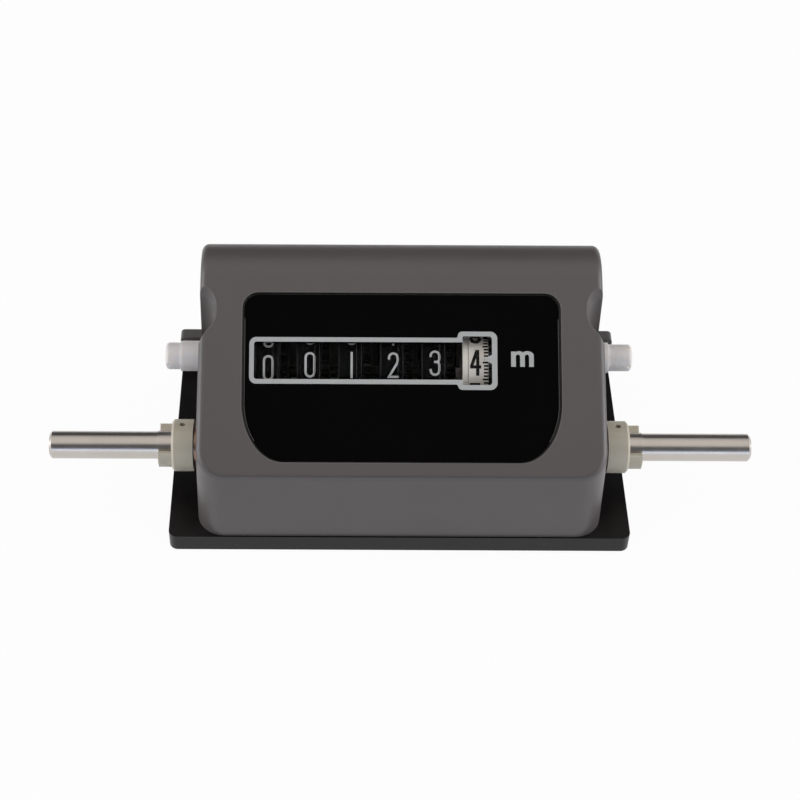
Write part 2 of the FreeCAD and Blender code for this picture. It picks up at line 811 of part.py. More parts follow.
def make_wheel(index):
    """A number wheel: rim, web, hub, gear and carry tooth in one moulding."""
    width = unit_wheel_width if index == 0 else wheel_width
    centre = first_wheel_x - index * wheel_pitch
    low = centre - width / 2
    high = centre + width / 2
    rim = ring_x(wheel_radius, wheel_radius - rim_thickness, low, high, wheel_axis)
    web = rod_x(wheel_radius - rim_thickness, high - web_thickness, high, wheel_axis)
    hub = rod_x(hub_radius, low, high, wheel_axis)
    groove_low = low + rim_flange_width
    groove = ring_x(wheel_radius + 1, wheel_radius - rim_groove_depth, groove_low,
                    groove_low + rim_groove_width, wheel_axis)
    wheel = rim.fuse([web, hub]).cut(groove)
    if index == 0:
        low_gear, high_gear = gear_plane()
        teeth = gear(drive_module, unit_teeth, wheel_axis, drive_direction + 180 / unit_teeth,
                     low_gear, high_gear, wheel_shaft_radius)
    else:
        low_gear, high_gear = high, high + carry_gear_width
        teeth = gear(carry_module, carry_teeth, wheel_axis, pinion_direction + 180 / carry_teeth,
                     low_gear, high_gear, wheel_shaft_radius)
    wheel = wheel.fuse(teeth)
    tooth_middle = carry_angle(shown_digits[index])
    wedge = extruded_profile(
        [wheel_axis,
         polar(wheel_axis, 2 * wheel_radius, tooth_middle - carry_tooth_spread),
         polar(wheel_axis, 2 * wheel_radius, tooth_middle + carry_tooth_spread)],
        low - carry_tooth_width, low)
    tooth_tip = wheel_radius - carry_tooth_gap
    tooth = ring_x(tooth_tip, wheel_radius - rim_thickness, low - carry_tooth_width, low, wheel_axis)
    wheel = wheel.fuse(tooth.common(wedge))
    bore = rod_x(wheel_shaft_radius + running_clearance, low - wheel_pitch, high + wheel_pitch, wheel_axis)
    return wheel.cut(bore).removeSplitter()


def pinion_low(index):
    """Left face of the pinion that drives the wheel with this index."""
    high = first_wheel_x - index * wheel_pitch + wheel_width / 2
    return high + side_clearance


def make_pinion(index):
    low = pinion_low(index)
    high = low + pinion_width
    bore = pinion_shaft_radius + running_clearance
    teeth = gear(carry_module, pinion_teeth, pinion_axis, pinion_direction + 180, low, high, bore)
    hub = ring_x(pinion_hub_radius, bore, high, low + wheel_pitch - side_clearance, pinion_axis)
    return teeth.fuse(hub).removeSplitter()


def make_pinion_shaft():
    return rod_x(pinion_shaft_radius, -frame_outer, frame_outer, pinion_axis)


def make_pinion_spacers():
    """Sleeves that keep the row of pinions in place on their shaft."""
    bore = pinion_shaft_radius + running_clearance
    last = len(shown_digits) - 1
    left = ring_x(pinion_hub_radius, bore, -frame_half_span + side_clearance,
                  pinion_low(last) - side_clearance, pinion_axis)
    right = ring_x(pinion_hub_radius, bore, pinion_low(1) + wheel_pitch,
                   frame_half_span - side_clearance, pinion_axis)
    return Part.makeCompound([left, right])


def make_wheel_spacers():
    """Sleeves on the wheel shaft between the wheels and the frame."""
    bore = wheel_shaft_radius + running_clearance
    left = ring_x(hub_radius, bore, -frame_half_span, last_wheel_left - side_clearance, wheel_axis)
    right = ring_x(hub_radius, bore, gear_plane()[1] + side_clearance, frame_half_span, wheel_axis)
    return Part.makeCompound([left, right])


def reset_gear_span():
    low = frame_outer + side_clearance
    return low, low + reset_gear_width


def make_wheel_shaft():
    half = reset_gear_span()[1] + side_clearance
    return rod_x(wheel_shaft_radius, -half, half, wheel_axis)


def make_reset_gear(side):
    low, high = reset_gear_span()
    shape = gear(reset_module, reset_teeth, wheel_axis, reset_direction + 180 / reset_teeth,
                 low, high, wheel_shaft_radius)
    if side < 0:
        shape = mirrored(shape)
    return shape


def make_stub_shaft(side):
    """Short shaft with a gear, which carries a reset knob."""
    low, high = reset_gear_span()
    inner = frame_half_span - side_clearance
    bar = rod_x(stub_shaft_radius, inner, knob_seat() + knob_neck_radius, knob_axis)
    teeth = gear(reset_module, reset_teeth, knob_axis, reset_direction + 180, low, high, stub_shaft_radius)
    shape = bar.fuse(teeth).removeSplitter()
    if side < 0:
        shape = mirrored(shape)
    return shape


def make_knob(side):
    body_length = knob_left_body if side < 0 else knob_right_body
    tip_length = knob_left_tip if side < 0 else knob_right_tip
    neck_start = reset_gear_span()[1] + side_clearance
    body_start = knob_seat() + knob_gap
    body_end = body_start + body_length
    tip_end = body_end + tip_length
    neck = rod_x(knob_neck_radius, neck_start, body_start, knob_axis)
    body = rod_x(knob_radius, body_start, body_end, knob_axis)
    tip = rod_x(knob_tip_radius, body_end, tip_end, knob_axis)
    end_rim = [edge for edge in tip.Edges if edge.Closed and edge.CenterOfMass.x > tip_end - 0.1]
    tip = tip.makeFillet(knob_end_rounding, end_rim)
    knob = neck.fuse([body, tip])
    slot = block(tip_end - knob_slot_depth, tip_end + 1,
                 knob_axis[0] - knob_radius, knob_axis[0] + knob_radius,
                 knob_axis[1] - knob_slot_width / 2, knob_axis[1] + knob_slot_width / 2)
    knob = knob.cut(slot)
    knob = knob.cut(rod_x(stub_shaft_radius, neck_start - 1, knob_seat() + knob_neck_radius, knob_axis))
    knob = knob.removeSplitter()
    if side < 0:
        knob = mirrored(knob)
    return knob


def export(name, shape):
    """Moves a piece so that the origin is under the middle of the object."""
    moved = shape.copy()
    moved.translate(vec(0, -base_depth / 2, 0))
    moved.exportStep(os.path.join("parts", name + ".step"))
    print(name, "solids", len(moved.Solids), "valid", moved.isValid(), "volume", round(moved.Volume, 2))


os.makedirs("parts", exist_ok=True)

export("base_plate", make_base_plate())
export("housing", make_housing())
export("fascia", make_fascia())
export("window_lens", make_window_lens())

sides = {"left": -1, "right": 1}
for side_name, side_sign in sides.items():
    export("frame_plate_" + side_name, make_frame_plate(side_sign))
    export("shaft_bush_" + side_name, make_bush(side_sign))
    export("shaft_collar_" + side_name, make_collar(side_sign))
    export("collar_pin_" + side_name, collar_pin(pin_radius, side_sign))
    export("reset_gear_" + side_name, make_reset_gear(side_sign))
    export("reset_stub_" + side_name, make_stub_shaft(side_sign))
    export("reset_knob_" + side_name, make_knob(side_sign))

for tie_name, tie_place in tie_rod_places.items():
    export("tie_rod_" + tie_name, make_tie_rod(tie_place))
export("tie_rod_screws", make_tie_rod_screws())
export("frame_screws", make_screws_from_below(foot_screw_places(), base_thickness + base_screw_engagement))
export("cover_screws", make_screws_from_below(cover_screw_places(), base_thickness + cover_screw_engagement))

export("drive_shaft", make_drive_shaft())
export("shaft_clips", make_shaft_clips())
export("drive_gear", make_drive_gear())
export("drive_gear_screw", make_drive_gear_screw())

wheel_names = ["tenths", "units", "tens", "hundreds", "thousands", "ten_thousands"]
for wheel_index, wheel_name in enumerate(wheel_names):
    export("number_wheel_" + wheel_name, make_wheel(wheel_index))
    if wheel_index > 0:
        export("carry_pinion_" + wheel_name, make_pinion(wheel_index))

export("wheel_shaft", make_wheel_shaft())
export("wheel_spacers", make_wheel_spacers())
export("pinion_shaft", make_pinion_shaft())
export("pinion_spacers", make_pinion_spacers())

print("wheel axis", [round(value, 5) for value in (wheel_axis[0] - base_depth / 2, wheel_axis[1])])
print("drive axis", [round(value, 5) for value in (drive_axis[0] - base_depth / 2, drive_axis[1])])
print("pinion axis", [round(value, 5) for value in (pinion_axis[0] - base_depth / 2, pinion_axis[1])])
print("knob axis", [round(value, 5) for value in (knob_axis[0] - base_depth / 2, knob_axis[1])])
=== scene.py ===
# %% [markdown]
# # A cable length counter
# A steel shaft runs right through this counter. A measuring wheel on either end turns it, and a train of
# number wheels behind a sloping window adds up the length of cable. The construction comes from CAD and is
# loaded as a fixed frame. This file adds what the eye sees: camera, light, prints, digits and finishes.

import json
import math

import bmesh
import bpy
from mathutils import Matrix, Vector


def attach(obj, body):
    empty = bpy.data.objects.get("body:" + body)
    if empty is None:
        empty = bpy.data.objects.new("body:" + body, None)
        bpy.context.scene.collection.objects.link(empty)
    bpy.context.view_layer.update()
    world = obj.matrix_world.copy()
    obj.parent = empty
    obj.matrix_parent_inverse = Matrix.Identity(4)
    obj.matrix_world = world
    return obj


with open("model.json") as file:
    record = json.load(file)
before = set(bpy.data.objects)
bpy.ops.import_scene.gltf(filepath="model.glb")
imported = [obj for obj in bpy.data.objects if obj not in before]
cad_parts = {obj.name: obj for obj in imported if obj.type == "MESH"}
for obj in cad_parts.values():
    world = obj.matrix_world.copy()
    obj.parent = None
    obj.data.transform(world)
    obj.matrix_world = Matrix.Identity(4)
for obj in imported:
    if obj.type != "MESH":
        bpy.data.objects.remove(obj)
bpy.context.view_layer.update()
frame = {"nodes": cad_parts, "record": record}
scene = bpy.context.scene

# %% [markdown]
# # Where things are
# Everything is in metres, in the frame of the construction: X along the shaft, Y to the rear, Z up. The
# sloping face of the housing carries the fascia and the window. Its foot and its tilt place every print,
# and the axis of the number wheels places every digit.

# %% Places on the counter
MM = 0.001
FACE_FOOT_Y = -30.6445 * MM
FACE_FOOT_Z = 26.8 * MM
FACE_TILT = math.radians(34)
FASCIA_DEPTH = 0.7 * MM
WHEEL_AXIS = Vector((0, 2.55154 * MM, 29.89179 * MM))
WHEEL_RADIUS = 13.45 * MM
WHEEL_PITCH = 10.35 * MM
TENTHS_X = 18.45 * MM
READING_ANGLE = math.radians(126.4)
WHITE_READING_ANGLE = math.radians(123.4)
DIGIT_STEP = math.radians(36)
FRAME_INNER = 38.0 * MM
REAR_WALL_FRONT = 28.39 * MM
BASE_TOP = 5.03 * MM
WHITE_RIM_LEFT = 15.22 * MM
WHITE_RIM_RIGHT = 21.62 * MM
WHEEL_NAMES = ["tenths", "units", "tens", "hundreds", "thousands", "ten_thousands"]
SHOWN_DIGITS = [4, 3, 2, 1, 0, 0]


def face_point(x, slope):
    """A point on the fascia, from millimetres across and up the slope."""
    along = slope * MM
    y = FACE_FOOT_Y + along * math.cos(FACE_TILT) + FASCIA_DEPTH * math.sin(FACE_TILT)
    z = FACE_FOOT_Z + along * math.sin(FACE_TILT) - FASCIA_DEPTH * math.cos(FACE_TILT)
    return Vector((x * MM, y, z))


print("middle of the window:", face_point(-8, 29.25))

# %% [markdown]
# # Camera
# The photograph was taken from in front, 47 degrees down, from about half a metre. A lens of 81.5 mm on a
# 36 mm sensor gives the same converging edges. The object sits a little left of the lens axis, so the frame
# is shifted, and the picture leans by a quarter of a degree.

# %% Camera
LENS = 81.5
SENSOR_WIDTH = 36
CAMERA_SHIFT = 0.075
CAMERA_LEAN = 0.0045
LOOKING_DOWN = math.radians(47)
CAMERA_PLACE = Vector((-15.2, -318.42, 363.55)) * MM

camera_data = bpy.data.cameras.new("camera")
camera_data.lens = LENS
camera_data.sensor_width = SENSOR_WIDTH
camera_data.shift_x = CAMERA_SHIFT
camera = bpy.data.objects.new("camera", camera_data)
scene.collection.objects.link(camera)
scene.camera = camera
look_down = Matrix.Rotation(math.radians(90) - LOOKING_DOWN, 4, "X")
lean = Matrix.Rotation(CAMERA_LEAN, 4, "Z")
camera.matrix_world = Matrix.Translation(CAMERA_PLACE) @ look_down @ lean
scene.view_settings.view_transform = "Standard"
print("camera at", [round(value, 4) for value in camera.location])

# %% [markdown]
# # Node helpers
# Materials, groups and Geometry Nodes trees are all node trees. Small helpers add a node with its settings
# and feed its sockets, so that each recipe below stays short.

# %% Node helpers


def link(tree, source, target):
    tree.links.new(source, target)


def feed(tree, value, socket):
    """Gives a socket a plain value, or links it where the value is another node's socket."""
    if isinstance(value, bpy.types.NodeSocket):
        link(tree, value, socket)
    else:
        socket.default_value = value


def add_node(tree, kind, **values):
    """Adds a node. Each value is one of its settings, or else goes to the input of that name."""
    made = tree.nodes.new(kind)
    for name, value in values.items():
        if hasattr(made, name):
            setattr(made, name, value)
    for name, value in values.items():
        if not hasattr(made, name):
            feed(tree, value, made.inputs[name.replace("_", " ")])
    return made


def math_node(tree, operation, first, second=0.0, clamp=False):
    """A sum or comparison of two values, each a socket or a number."""
    made = add_node(tree, "ShaderNodeMath", operation=operation, use_clamp=clamp)
    feed(tree, first, made.inputs[0])
    feed(tree, second, made.inputs[1])
    return made.outputs[0]


def new_group(name, kind, inputs, outputs):
    """A node group with named sockets: returns the group, what it is given and what it puts out."""
    group = bpy.data.node_groups.new(name, kind)
    for label, value_kind, default in inputs:
        socket = group.interface.new_socket(label, in_out="INPUT", socket_type="NodeSocket" + value_kind)
        if default is not None:
            socket.default_value = default
    for label, value_kind in outputs:
        group.interface.new_socket(label, in_out="OUTPUT", socket_type="NodeSocket" + value_kind)
    return group, group.nodes.new("NodeGroupInput").outputs, group.nodes.new("NodeGroupOutput").inputs


# %% [markdown]
# # Shared surface effects
# Several finishes share the same kinds of wear and of painted light. Each effect is built once as a node
# group that puts out a mask, a height or a colour, and each material places it with its own values. The
# first is the fine grain of a mould or of paint: soft noise for the waves in it, mixed with round cells for
# the pebbles.

# %% Effect: grain of a moulded or painted surface


def build_grain():
    group, source, target = new_group(
        "surface_grain", "ShaderNodeTree",
        [("Grain Size", "Float", 0.4 * MM), ("Pebble Share", "Float", 0.4)],
        [("Height", "Float")])
    place = add_node(group, "ShaderNodeTexCoord").outputs["Object"]
    scale = math_node(group, "DIVIDE", 1.0, source["Grain Size"])
    noise = add_node(group, "ShaderNodeTexNoise", Vector=place, Scale=scale, Detail=3.0, Roughness=0.6)
    pebbles = add_node(group, "ShaderNodeTexVoronoi", feature="SMOOTH_F1", Vector=place, Scale=scale)
    mixed = add_node(group, "ShaderNodeMix", data_type="FLOAT", Factor=source["Pebble Share"],
                     A=noise.outputs["Fac"], B=pebbles.outputs["Distance"])
    link(group, mixed.outputs["Result"], target["Height"])
    return group


surface_grain = build_grain()
print("effect:", surface_grain.name)

# %% [markdown]
# No moulding or paint has one even colour. A slow noise mixes two close tones, and the same mask can drift
# the roughness, which reads as handling.

# %% Effect: slow drift between two colours


def build_drift():
    group, source, target = new_group(
        "colour_drift", "ShaderNodeTree",
        [("Base Tone", "Color", (0.5, 0.5, 0.5, 1)),
         ("Other Tone", "Color", (0.4, 0.4, 0.4, 1)),
         ("Patch Size", "Float", 20 * MM), ("Contrast", "Float", 1.0)],
        [("Color", "Color"), ("Mask", "Float")])
    place = add_node(group, "ShaderNodeTexCoord").outputs["Object"]
    scale = math_node(group, "DIVIDE", 1.0, source["Patch Size"])
    noise = add_node(group, "ShaderNodeTexNoise", Vector=place, Scale=scale, Detail=4.0, Roughness=0.55,
                     Distortion=0.4)
    spread = math_node(group, "SUBTRACT", noise.outputs["Fac"], 0.5)
    spread = math_node(group, "MULTIPLY", spread, source["Contrast"])
    mask = math_node(group, "ADD", spread, 0.5, clamp=True)
    mixed = add_node(group, "ShaderNodeMix", data_type="RGBA", Factor=mask,
                     A=source["Base Tone"], B=source["Other Tone"])
    link(group, mixed.outputs["Result"], target["Color"])
    link(group, mask, target["Mask"])
    return group


colour_drift = build_drift()
print("effect:", colour_drift.name)

# %% [markdown]
# The black base shows pale dust. Voronoi cells give one spot each; only some cells keep theirs, and each
# kept spot is as strong as the random colour of its cell says.

# %% Effect: specks of dust and tiny chips


def build_specks():
    group, source, target = new_group(
        "dust_specks", "ShaderNodeTree",
        [("Spacing", "Float", 3 * MM), ("Speck Share", "Float", 0.08),
         ("Kept Share", "Float", 0.3)],
        [("Mask", "Float")])
    place = add_node(group, "ShaderNodeTexCoord").outputs["Object"]
    scale = math_node(group, "DIVIDE", 1.0, source["Spacing"])
    cells = add_node(group, "ShaderNodeTexVoronoi", feature="F1", Vector=place, Scale=scale)
    near = math_node(group, "LESS_THAN", cells.outputs["Distance"], source["Speck Share"])
    pick = add_node(group, "ShaderNodeSeparateColor", Color=cells.outputs["Color"])
    kept = math_node(group, "LESS_THAN", pick.outputs["Red"], source["Kept Share"])
    mask = math_node(group, "MULTIPLY", near, kept)
    mask = math_node(group, "MULTIPLY", mask, pick.outputs["Green"])
    link(group, mask, target["Mask"])
    return group


dust_specks = build_specks()
print("effect:", dust_specks.name)

# %% [markdown]
# Edges get a painted highlight: a paler tone that stands for the light a rounded edge catches. The Bevel
# node gives the normal of a rounded edge, and where it leaves the true normal, an edge is near. That works
# on any shape, with no paint map.

# %% Effect: painted highlight along edges


def build_edge_highlight():
    group, source, target = new_group(
        "rubbed_edges", "ShaderNodeTree",
        [("Edge Width", "Float", 0.4 * MM), ("Gain", "Float", 4.0)],
        [("Mask", "Float")])
    rounded = add_node(group, "ShaderNodeBevel", samples=4, Radius=source["Edge Width"])
    true_normal = add_node(group, "ShaderNodeNewGeometry").outputs["Normal"]
    agree = add_node(group, "ShaderNodeVectorMath", operation="DOT_PRODUCT")
    link(group, rounded.outputs["Normal"], agree.inputs[0])
    link(group, true_normal, agree.inputs[1])
    bend = math_node(group, "SUBTRACT", 1.0, agree.outputs["Value"])
    mask = math_node(group, "MULTIPLY", bend, source["Gain"], clamp=True)
    link(group, mask, target["Mask"])
    return group


rubbed_edges = build_edge_highlight()
print("effect:", rubbed_edges.name)

# %% [markdown]
# A shaft turned on a lathe keeps fine rings, and some of them polish brighter. Both are noise along the
# shaft only, one close and one in broad bands.

# %% Effect: fine lines left by a lathe
BANDS_PER_METRE = 180


def build_turning():
    group, source, target = new_group(
        "turned_lines", "ShaderNodeTree",
        [("Line Spacing", "Float", 0.12 * MM)],
        [("Height", "Float"), ("Tone", "Float")])
    place = add_node(group, "ShaderNodeTexCoord").outputs["Object"]
    x = add_node(group, "ShaderNodeSeparateXYZ", Vector=place).outputs["X"]
    along = math_node(group, "DIVIDE", x, source["Line Spacing"])
    lines = add_node(group, "ShaderNodeTexNoise", noise_dimensions="1D", W=along, Scale=1.0, Detail=2.0)
    slow = math_node(group, "MULTIPLY", x, BANDS_PER_METRE)
    bands = add_node(group, "ShaderNodeTexNoise", noise_dimensions="1D", W=slow, Scale=1.0, Detail=4.0)
    link(group, lines.outputs["Fac"], target["Height"])
    link(group, bands.outputs["Fac"], target["Tone"])
    return group


turned_lines = build_turning()
print("effect:", turned_lines.name)

# %% [markdown]
# # Finishes
# A finish is a Principled shader fed by the effects above. The grey housing, the black base and the nylon
# parts are all plastics or paints, so one recipe makes them: a drifting colour, a grain in the bump, a
# roughness with smudges, paler edges as a painted highlight and a few specks. Each finish gives its own
# numbers, with its lengths in millimetres.

# %% Recipe for plastics and paints


def zone_mask(tree, zones):
    """White inside a box, given by its low and high end on some of the axes X, Y and Z."""
    place = add_node(tree, "ShaderNodeTexCoord").outputs["Object"]
    split = add_node(tree, "ShaderNodeSeparateXYZ", Vector=place)
    mask = None
    for axis, low, high in zones:
        above = math_node(tree, "GREATER_THAN", split.outputs[axis], low)
        below = math_node(tree, "LESS_THAN", split.outputs[axis], high)
        inside = math_node(tree, "MULTIPLY", above, below)
        mask = inside if mask is None else math_node(tree, "MULTIPLY", mask, inside)
    return mask


def place_group(tree, group, **values):
    return add_node(tree, "ShaderNodeGroup", node_tree=group, **values)


def start_material(name):
    """An empty material with a Principled shader joined to its output."""
    material = bpy.data.materials.new(name)
    material.use_nodes = True
    tree = material.node_tree
    tree.nodes.clear()
    shader = tree.nodes.new("ShaderNodeBsdfPrincipled")
    output = tree.nodes.new("ShaderNodeOutputMaterial")
    link(tree, shader.outputs["BSDF"], output.inputs["Surface"])
    return material, tree, shader


def blend_colour(tree, mask, under, over):
    """Colour that turns from under to over where the mask is white."""
    mixed = add_node(tree, "ShaderNodeMix", data_type="RGBA", Factor=mask, A=under, B=(*over, 1))
    return mixed.outputs["Result"]


def coated_finish(name, tone, other_tone, edge_tone, roughness, grain_size, grain_depth, patch_size,
                  smudge=0.08, edge_gain=3.0, edge_width=0.4, speck_tone=None, speck_share=0.0,
                  speck_spacing=3, speck_size=0.05, specular=0.5, subsurface=0.0, subsurface_reach=2,
                  zones=(), zone_tone=None):
    """A plastic or a paint: drifting colour, grain, smudges, a painted highlight on the edges, and specks.
    """
    material, tree, shader = start_material(name)
    drift = place_group(tree, colour_drift, Base_Tone=(*tone, 1), Other_Tone=(*other_tone, 1),
                        Patch_Size=patch_size * MM, Contrast=1.6)
    # Paler edge_tone along every edge: a painted highlight.
    edges = place_group(tree, rubbed_edges, Edge_Width=edge_width * MM, Gain=edge_gain)
    colour = blend_colour(tree, edges.outputs["Mask"], drift.outputs["Color"], edge_tone)
    if speck_tone:
        specks = place_group(tree, dust_specks, Spacing=speck_spacing * MM, Kept_Share=speck_share,
                             Speck_Share=speck_size)
        colour = blend_colour(tree, specks.outputs["Mask"], colour, speck_tone)
    if zones:
        colour = blend_colour(tree, zone_mask(tree, zones), colour, zone_tone)
    link(tree, colour, shader.inputs["Base Color"])
    smudges = place_group(tree, colour_drift, Patch_Size=patch_size * MM * 0.4, Contrast=2.0)
    change = math_node(tree, "MULTIPLY", smudges.outputs["Mask"], smudge)
    link(tree, math_node(tree, "ADD", change, roughness - smudge / 2), shader.inputs["Roughness"])
    grain = place_group(tree, surface_grain, Grain_Size=grain_size * MM)
    bump = add_node(tree, "ShaderNodeBump", Strength=1.0, Distance=grain_depth * MM,
                    Height=grain.outputs["Height"])
    link(tree, bump.outputs["Normal"], shader.inputs["Normal"])
    shader.inputs["Specular IOR Level"].default_value = specular
    if subsurface > 0:
        shader.inputs["Subsurface Weight"].default_value = subsurface
        shader.inputs["Subsurface Radius"].default_value = (1.0, 0.8, 0.6)
        shader.inputs["Subsurface Scale"].default_value = subsurface_reach * MM
    return material


# %% [markdown]
# Metals take their colour in the reflection, so they are fully metallic. Their life is in the roughness:
# the lathe lines change it a little, and the edges get a brighter tone, a painted highlight.

# %% Recipe for metals
TURNED_LINE_SPACING = 0.12 * MM
TURNED_LINE_DEPTH = 0.002 * MM
ROUGHNESS_CHANGE = 0.06


def metal_finish(name, tone, other_tone, roughness, edge_tone=(0.8, 0.78, 0.75), zones=(), zone_tone=None):
    """Turned or rolled metal: fine lines, drifting tone and brighter edges as a painted highlight."""
    material, tree, shader = start_material(name)
    turning = place_group(tree, turned_lines, Line_Spacing=TURNED_LINE_SPACING)
    drift = place_group(tree, colour_drift, Base_Tone=(*tone, 1), Other_Tone=(*other_tone, 1),
                        Patch_Size=10 * MM, Contrast=1.8)
    # Brighter edge_tone along every edge: a painted highlight.
    edges = place_group(tree, rubbed_edges, Edge_Width=0.2 * MM, Gain=3.0)
    colour = blend_colour(tree, edges.outputs["Mask"], drift.outputs["Color"], edge_tone)
    if zones:
        colour = blend_colour(tree, zone_mask(tree, zones), colour, zone_tone)
    link(tree, colour, shader.inputs["Base Color"])
    change = math_node(tree, "MULTIPLY", turning.outputs["Tone"], ROUGHNESS_CHANGE)
    change = math_node(tree, "ADD", change, roughness - ROUGHNESS_CHANGE / 2)
    link(tree, change, shader.inputs["Roughness"])
    bump = add_node(tree, "ShaderNodeBump", Strength=1.0, Distance=TURNED_LINE_DEPTH,
                    Height=turning.outputs["Height"])
    link(tree, bump.outputs["Normal"], shader.inputs["Normal"])
    shader.inputs["Metallic"].default_value = 1.0
    return material


# %% [markdown]
# # The finishes of this counter
# The housing is a warm dark grey moulding with a satin, finely eroded surface. The base is matt black paint
# with pale dust, and a zone gives its rear wall the grey of the housing. The fascia is glossy black. The
# white wheel is white on its rim, again a zone, and near black elsewhere: painted shade on its carry tooth
# and gear, deep in the housing. Collars are ivory nylon and the knobs a milky plastic that light enters a
# little way, so both get some subsurface. The pins in the collars are near black, painted shade of the
# holes they sit in, and a near-black zone on the shafts between the side plates is painted shade inside
# the housing.

# %% Finishes
NO_END = 1.0
REAR_WALL = (("Y", REAR_WALL_FRONT, NO_END), ("Z", BASE_TOP, NO_END))
WHITE_RIM = (("X", WHITE_RIM_LEFT, WHITE_RIM_RIGHT),)
SHAFT_PAINTED_SHADE_ZONE = (("X", -FRAME_INNER, FRAME_INNER),)

coatings = {
    "grey_housing": dict(
        tone=(0.080, 0.069, 0.067), other_tone=(0.073, 0.064, 0.063), edge_tone=(0.170, 0.162, 0.160),
        roughness=0.42, smudge=0.10, grain_size=0.35, grain_depth=0.006, patch_size=30, specular=0.6,
        speck_tone=(0.16, 0.155, 0.15), speck_share=0.05, speck_spacing=3, speck_size=0.04),
    "black_base": dict(
        tone=(0.0035, 0.0026, 0.0030), other_tone=(0.0060, 0.0048, 0.0054), edge_tone=(0.030, 0.027, 0.030),
        roughness=0.34, smudge=0.12, grain_size=0.5, grain_depth=0.015, patch_size=15, specular=0.3,
        speck_tone=(0.11, 0.10, 0.09), speck_share=0.35, speck_spacing=2.6,
        zones=REAR_WALL, zone_tone=(0.094, 0.088, 0.088)),
    "black_fascia": dict(
        tone=(0.0019, 0.0019, 0.0020), other_tone=(0.0025, 0.0023, 0.0022), edge_tone=(0.010, 0.008, 0.007),
        roughness=0.12, smudge=0.06, grain_size=2, grain_depth=0.002, patch_size=20, edge_width=0.2,
        specular=0.01),
    "ivory_nylon": dict(
        tone=(0.50, 0.46, 0.375), other_tone=(0.45, 0.41, 0.33), edge_tone=(0.64, 0.61, 0.54),
        roughness=0.42, grain_size=0.6, grain_depth=0.01, patch_size=6,
        subsurface=0.35, subsurface_reach=1.5),
    "clear_white_knob": dict(
        tone=(0.72, 0.695, 0.69), other_tone=(0.66, 0.64, 0.635), edge_tone=(0.68, 0.67, 0.67),
        roughness=0.38, grain_size=0.8, grain_depth=0.008, patch_size=5, specular=0.35,
        subsurface=0.6, subsurface_reach=3),
    # Outside the white rim the wheel is near black: painted shade on its carry tooth and gear deep in the
    # housing.
    "white_wheel": dict(
        tone=(0.014, 0.012, 0.010), other_tone=(0.020, 0.017, 0.013), edge_tone=(0.03, 0.03, 0.03),
        roughness=0.45, grain_size=0.5, grain_depth=0.006, patch_size=6, specular=0.25,
        zones=WHITE_RIM, zone_tone=(0.50, 0.465, 0.425)),
    "black_wheel": dict(
        tone=(0.0012, 0.0012, 0.0013), other_tone=(0.0018, 0.0018, 0.0018), edge_tone=(0.006, 0.006, 0.006),
        roughness=0.5, grain_size=0.5, grain_depth=0.006, patch_size=6, specular=0.02),
    # The pinions between the wheels get a dark tone: painted shade of the gaps between the wheels.
    "grey_pinion": dict(
        tone=(0.030, 0.030, 0.029), other_tone=(0.024, 0.024, 0.023), edge_tone=(0.05, 0.05, 0.05),
        roughness=0.4, grain_size=0.5, grain_depth=0.006, patch_size=4, specular=0.3),
}
metals = {
    "zinc_steel": dict(tone=(0.55, 0.55, 0.56), other_tone=(0.46, 0.46, 0.48), roughness=0.36),
    # Between the side plates the shaft is near black: painted shade inside the housing.
    "bright_steel": dict(tone=(0.56, 0.52, 0.485), other_tone=(0.51, 0.47, 0.44), roughness=0.29,
                         zones=SHAFT_PAINTED_SHADE_ZONE, zone_tone=(0.02, 0.02, 0.02)),
    # Near-black pins: painted shade of the holes in the collars.
    "dark_pin": dict(tone=(0.030, 0.026, 0.023), other_tone=(0.022, 0.019, 0.017), roughness=0.45,
                     edge_tone=(0.05, 0.045, 0.04)),
    "bronze_bush": dict(tone=(0.46, 0.25, 0.17), other_tone=(0.40, 0.21, 0.14), roughness=0.38),
    "brass_gear": dict(tone=(0.66, 0.48, 0.20), other_tone=(0.58, 0.42, 0.17), roughness=0.3),
}
finishes = {name: coated_finish(name, **values) for name, values in coatings.items()}
finishes.update({name: metal_finish(name, **values) for name, values in metals.items()})
print("finishes:", ", ".join(sorted(finishes)))

# %% [markdown]
# # The clear window
# The lens in the fascia is thin clear plastic. A glass shader alone would stop the lamps' light from
# reaching the wheels behind it, because light that bends through glass is hard for the renderer to find.
# So shadow rays pass straight through, while the eye still sees a faint gloss.

# %% Clear window
THIN_SHEET_IOR = 1.08
SMUDGED_ROUGHNESS = 0.02


def build_window():
    material, tree, shader = start_material("clear_window")
    shader.inputs["Base Color"].default_value = (0.97, 0.97, 0.97, 1)
    shader.inputs["Transmission Weight"].default_value = 1.0
    shader.inputs["IOR"].default_value = THIN_SHEET_IOR
    smudges = place_group(tree, colour_drift, Patch_Size=6 * MM, Contrast=1.5)
    change = math_node(tree, "MULTIPLY", smudges.outputs["Mask"], SMUDGED_ROUGHNESS)
    link(tree, change, shader.inputs["Roughness"])
    passing = tree.nodes.new("ShaderNodeBsdfTransparent")
    path = tree.nodes.new("ShaderNodeLightPath")
    mixed = tree.nodes.new("ShaderNodeMixShader")
    link(tree, path.outputs["Is Shadow Ray"], mixed.inputs[0])
    link(tree, shader.outputs["BSDF"], mixed.inputs[1])
    link(tree, passing.outputs["BSDF"], mixed.inputs[2])
    output = next(item for item in tree.nodes if item.bl_idname == "ShaderNodeOutputMaterial")
    link(tree, mixed.outputs["Shader"], output.inputs["Surface"])
    return material


finishes["clear_window"] = build_window()

# %% [markdown]
# # Dressing the construction
# The record says which finish each solid takes. Only the pins in the collars differ: they get a near-black
# finish, painted shade of the holes they sit in.

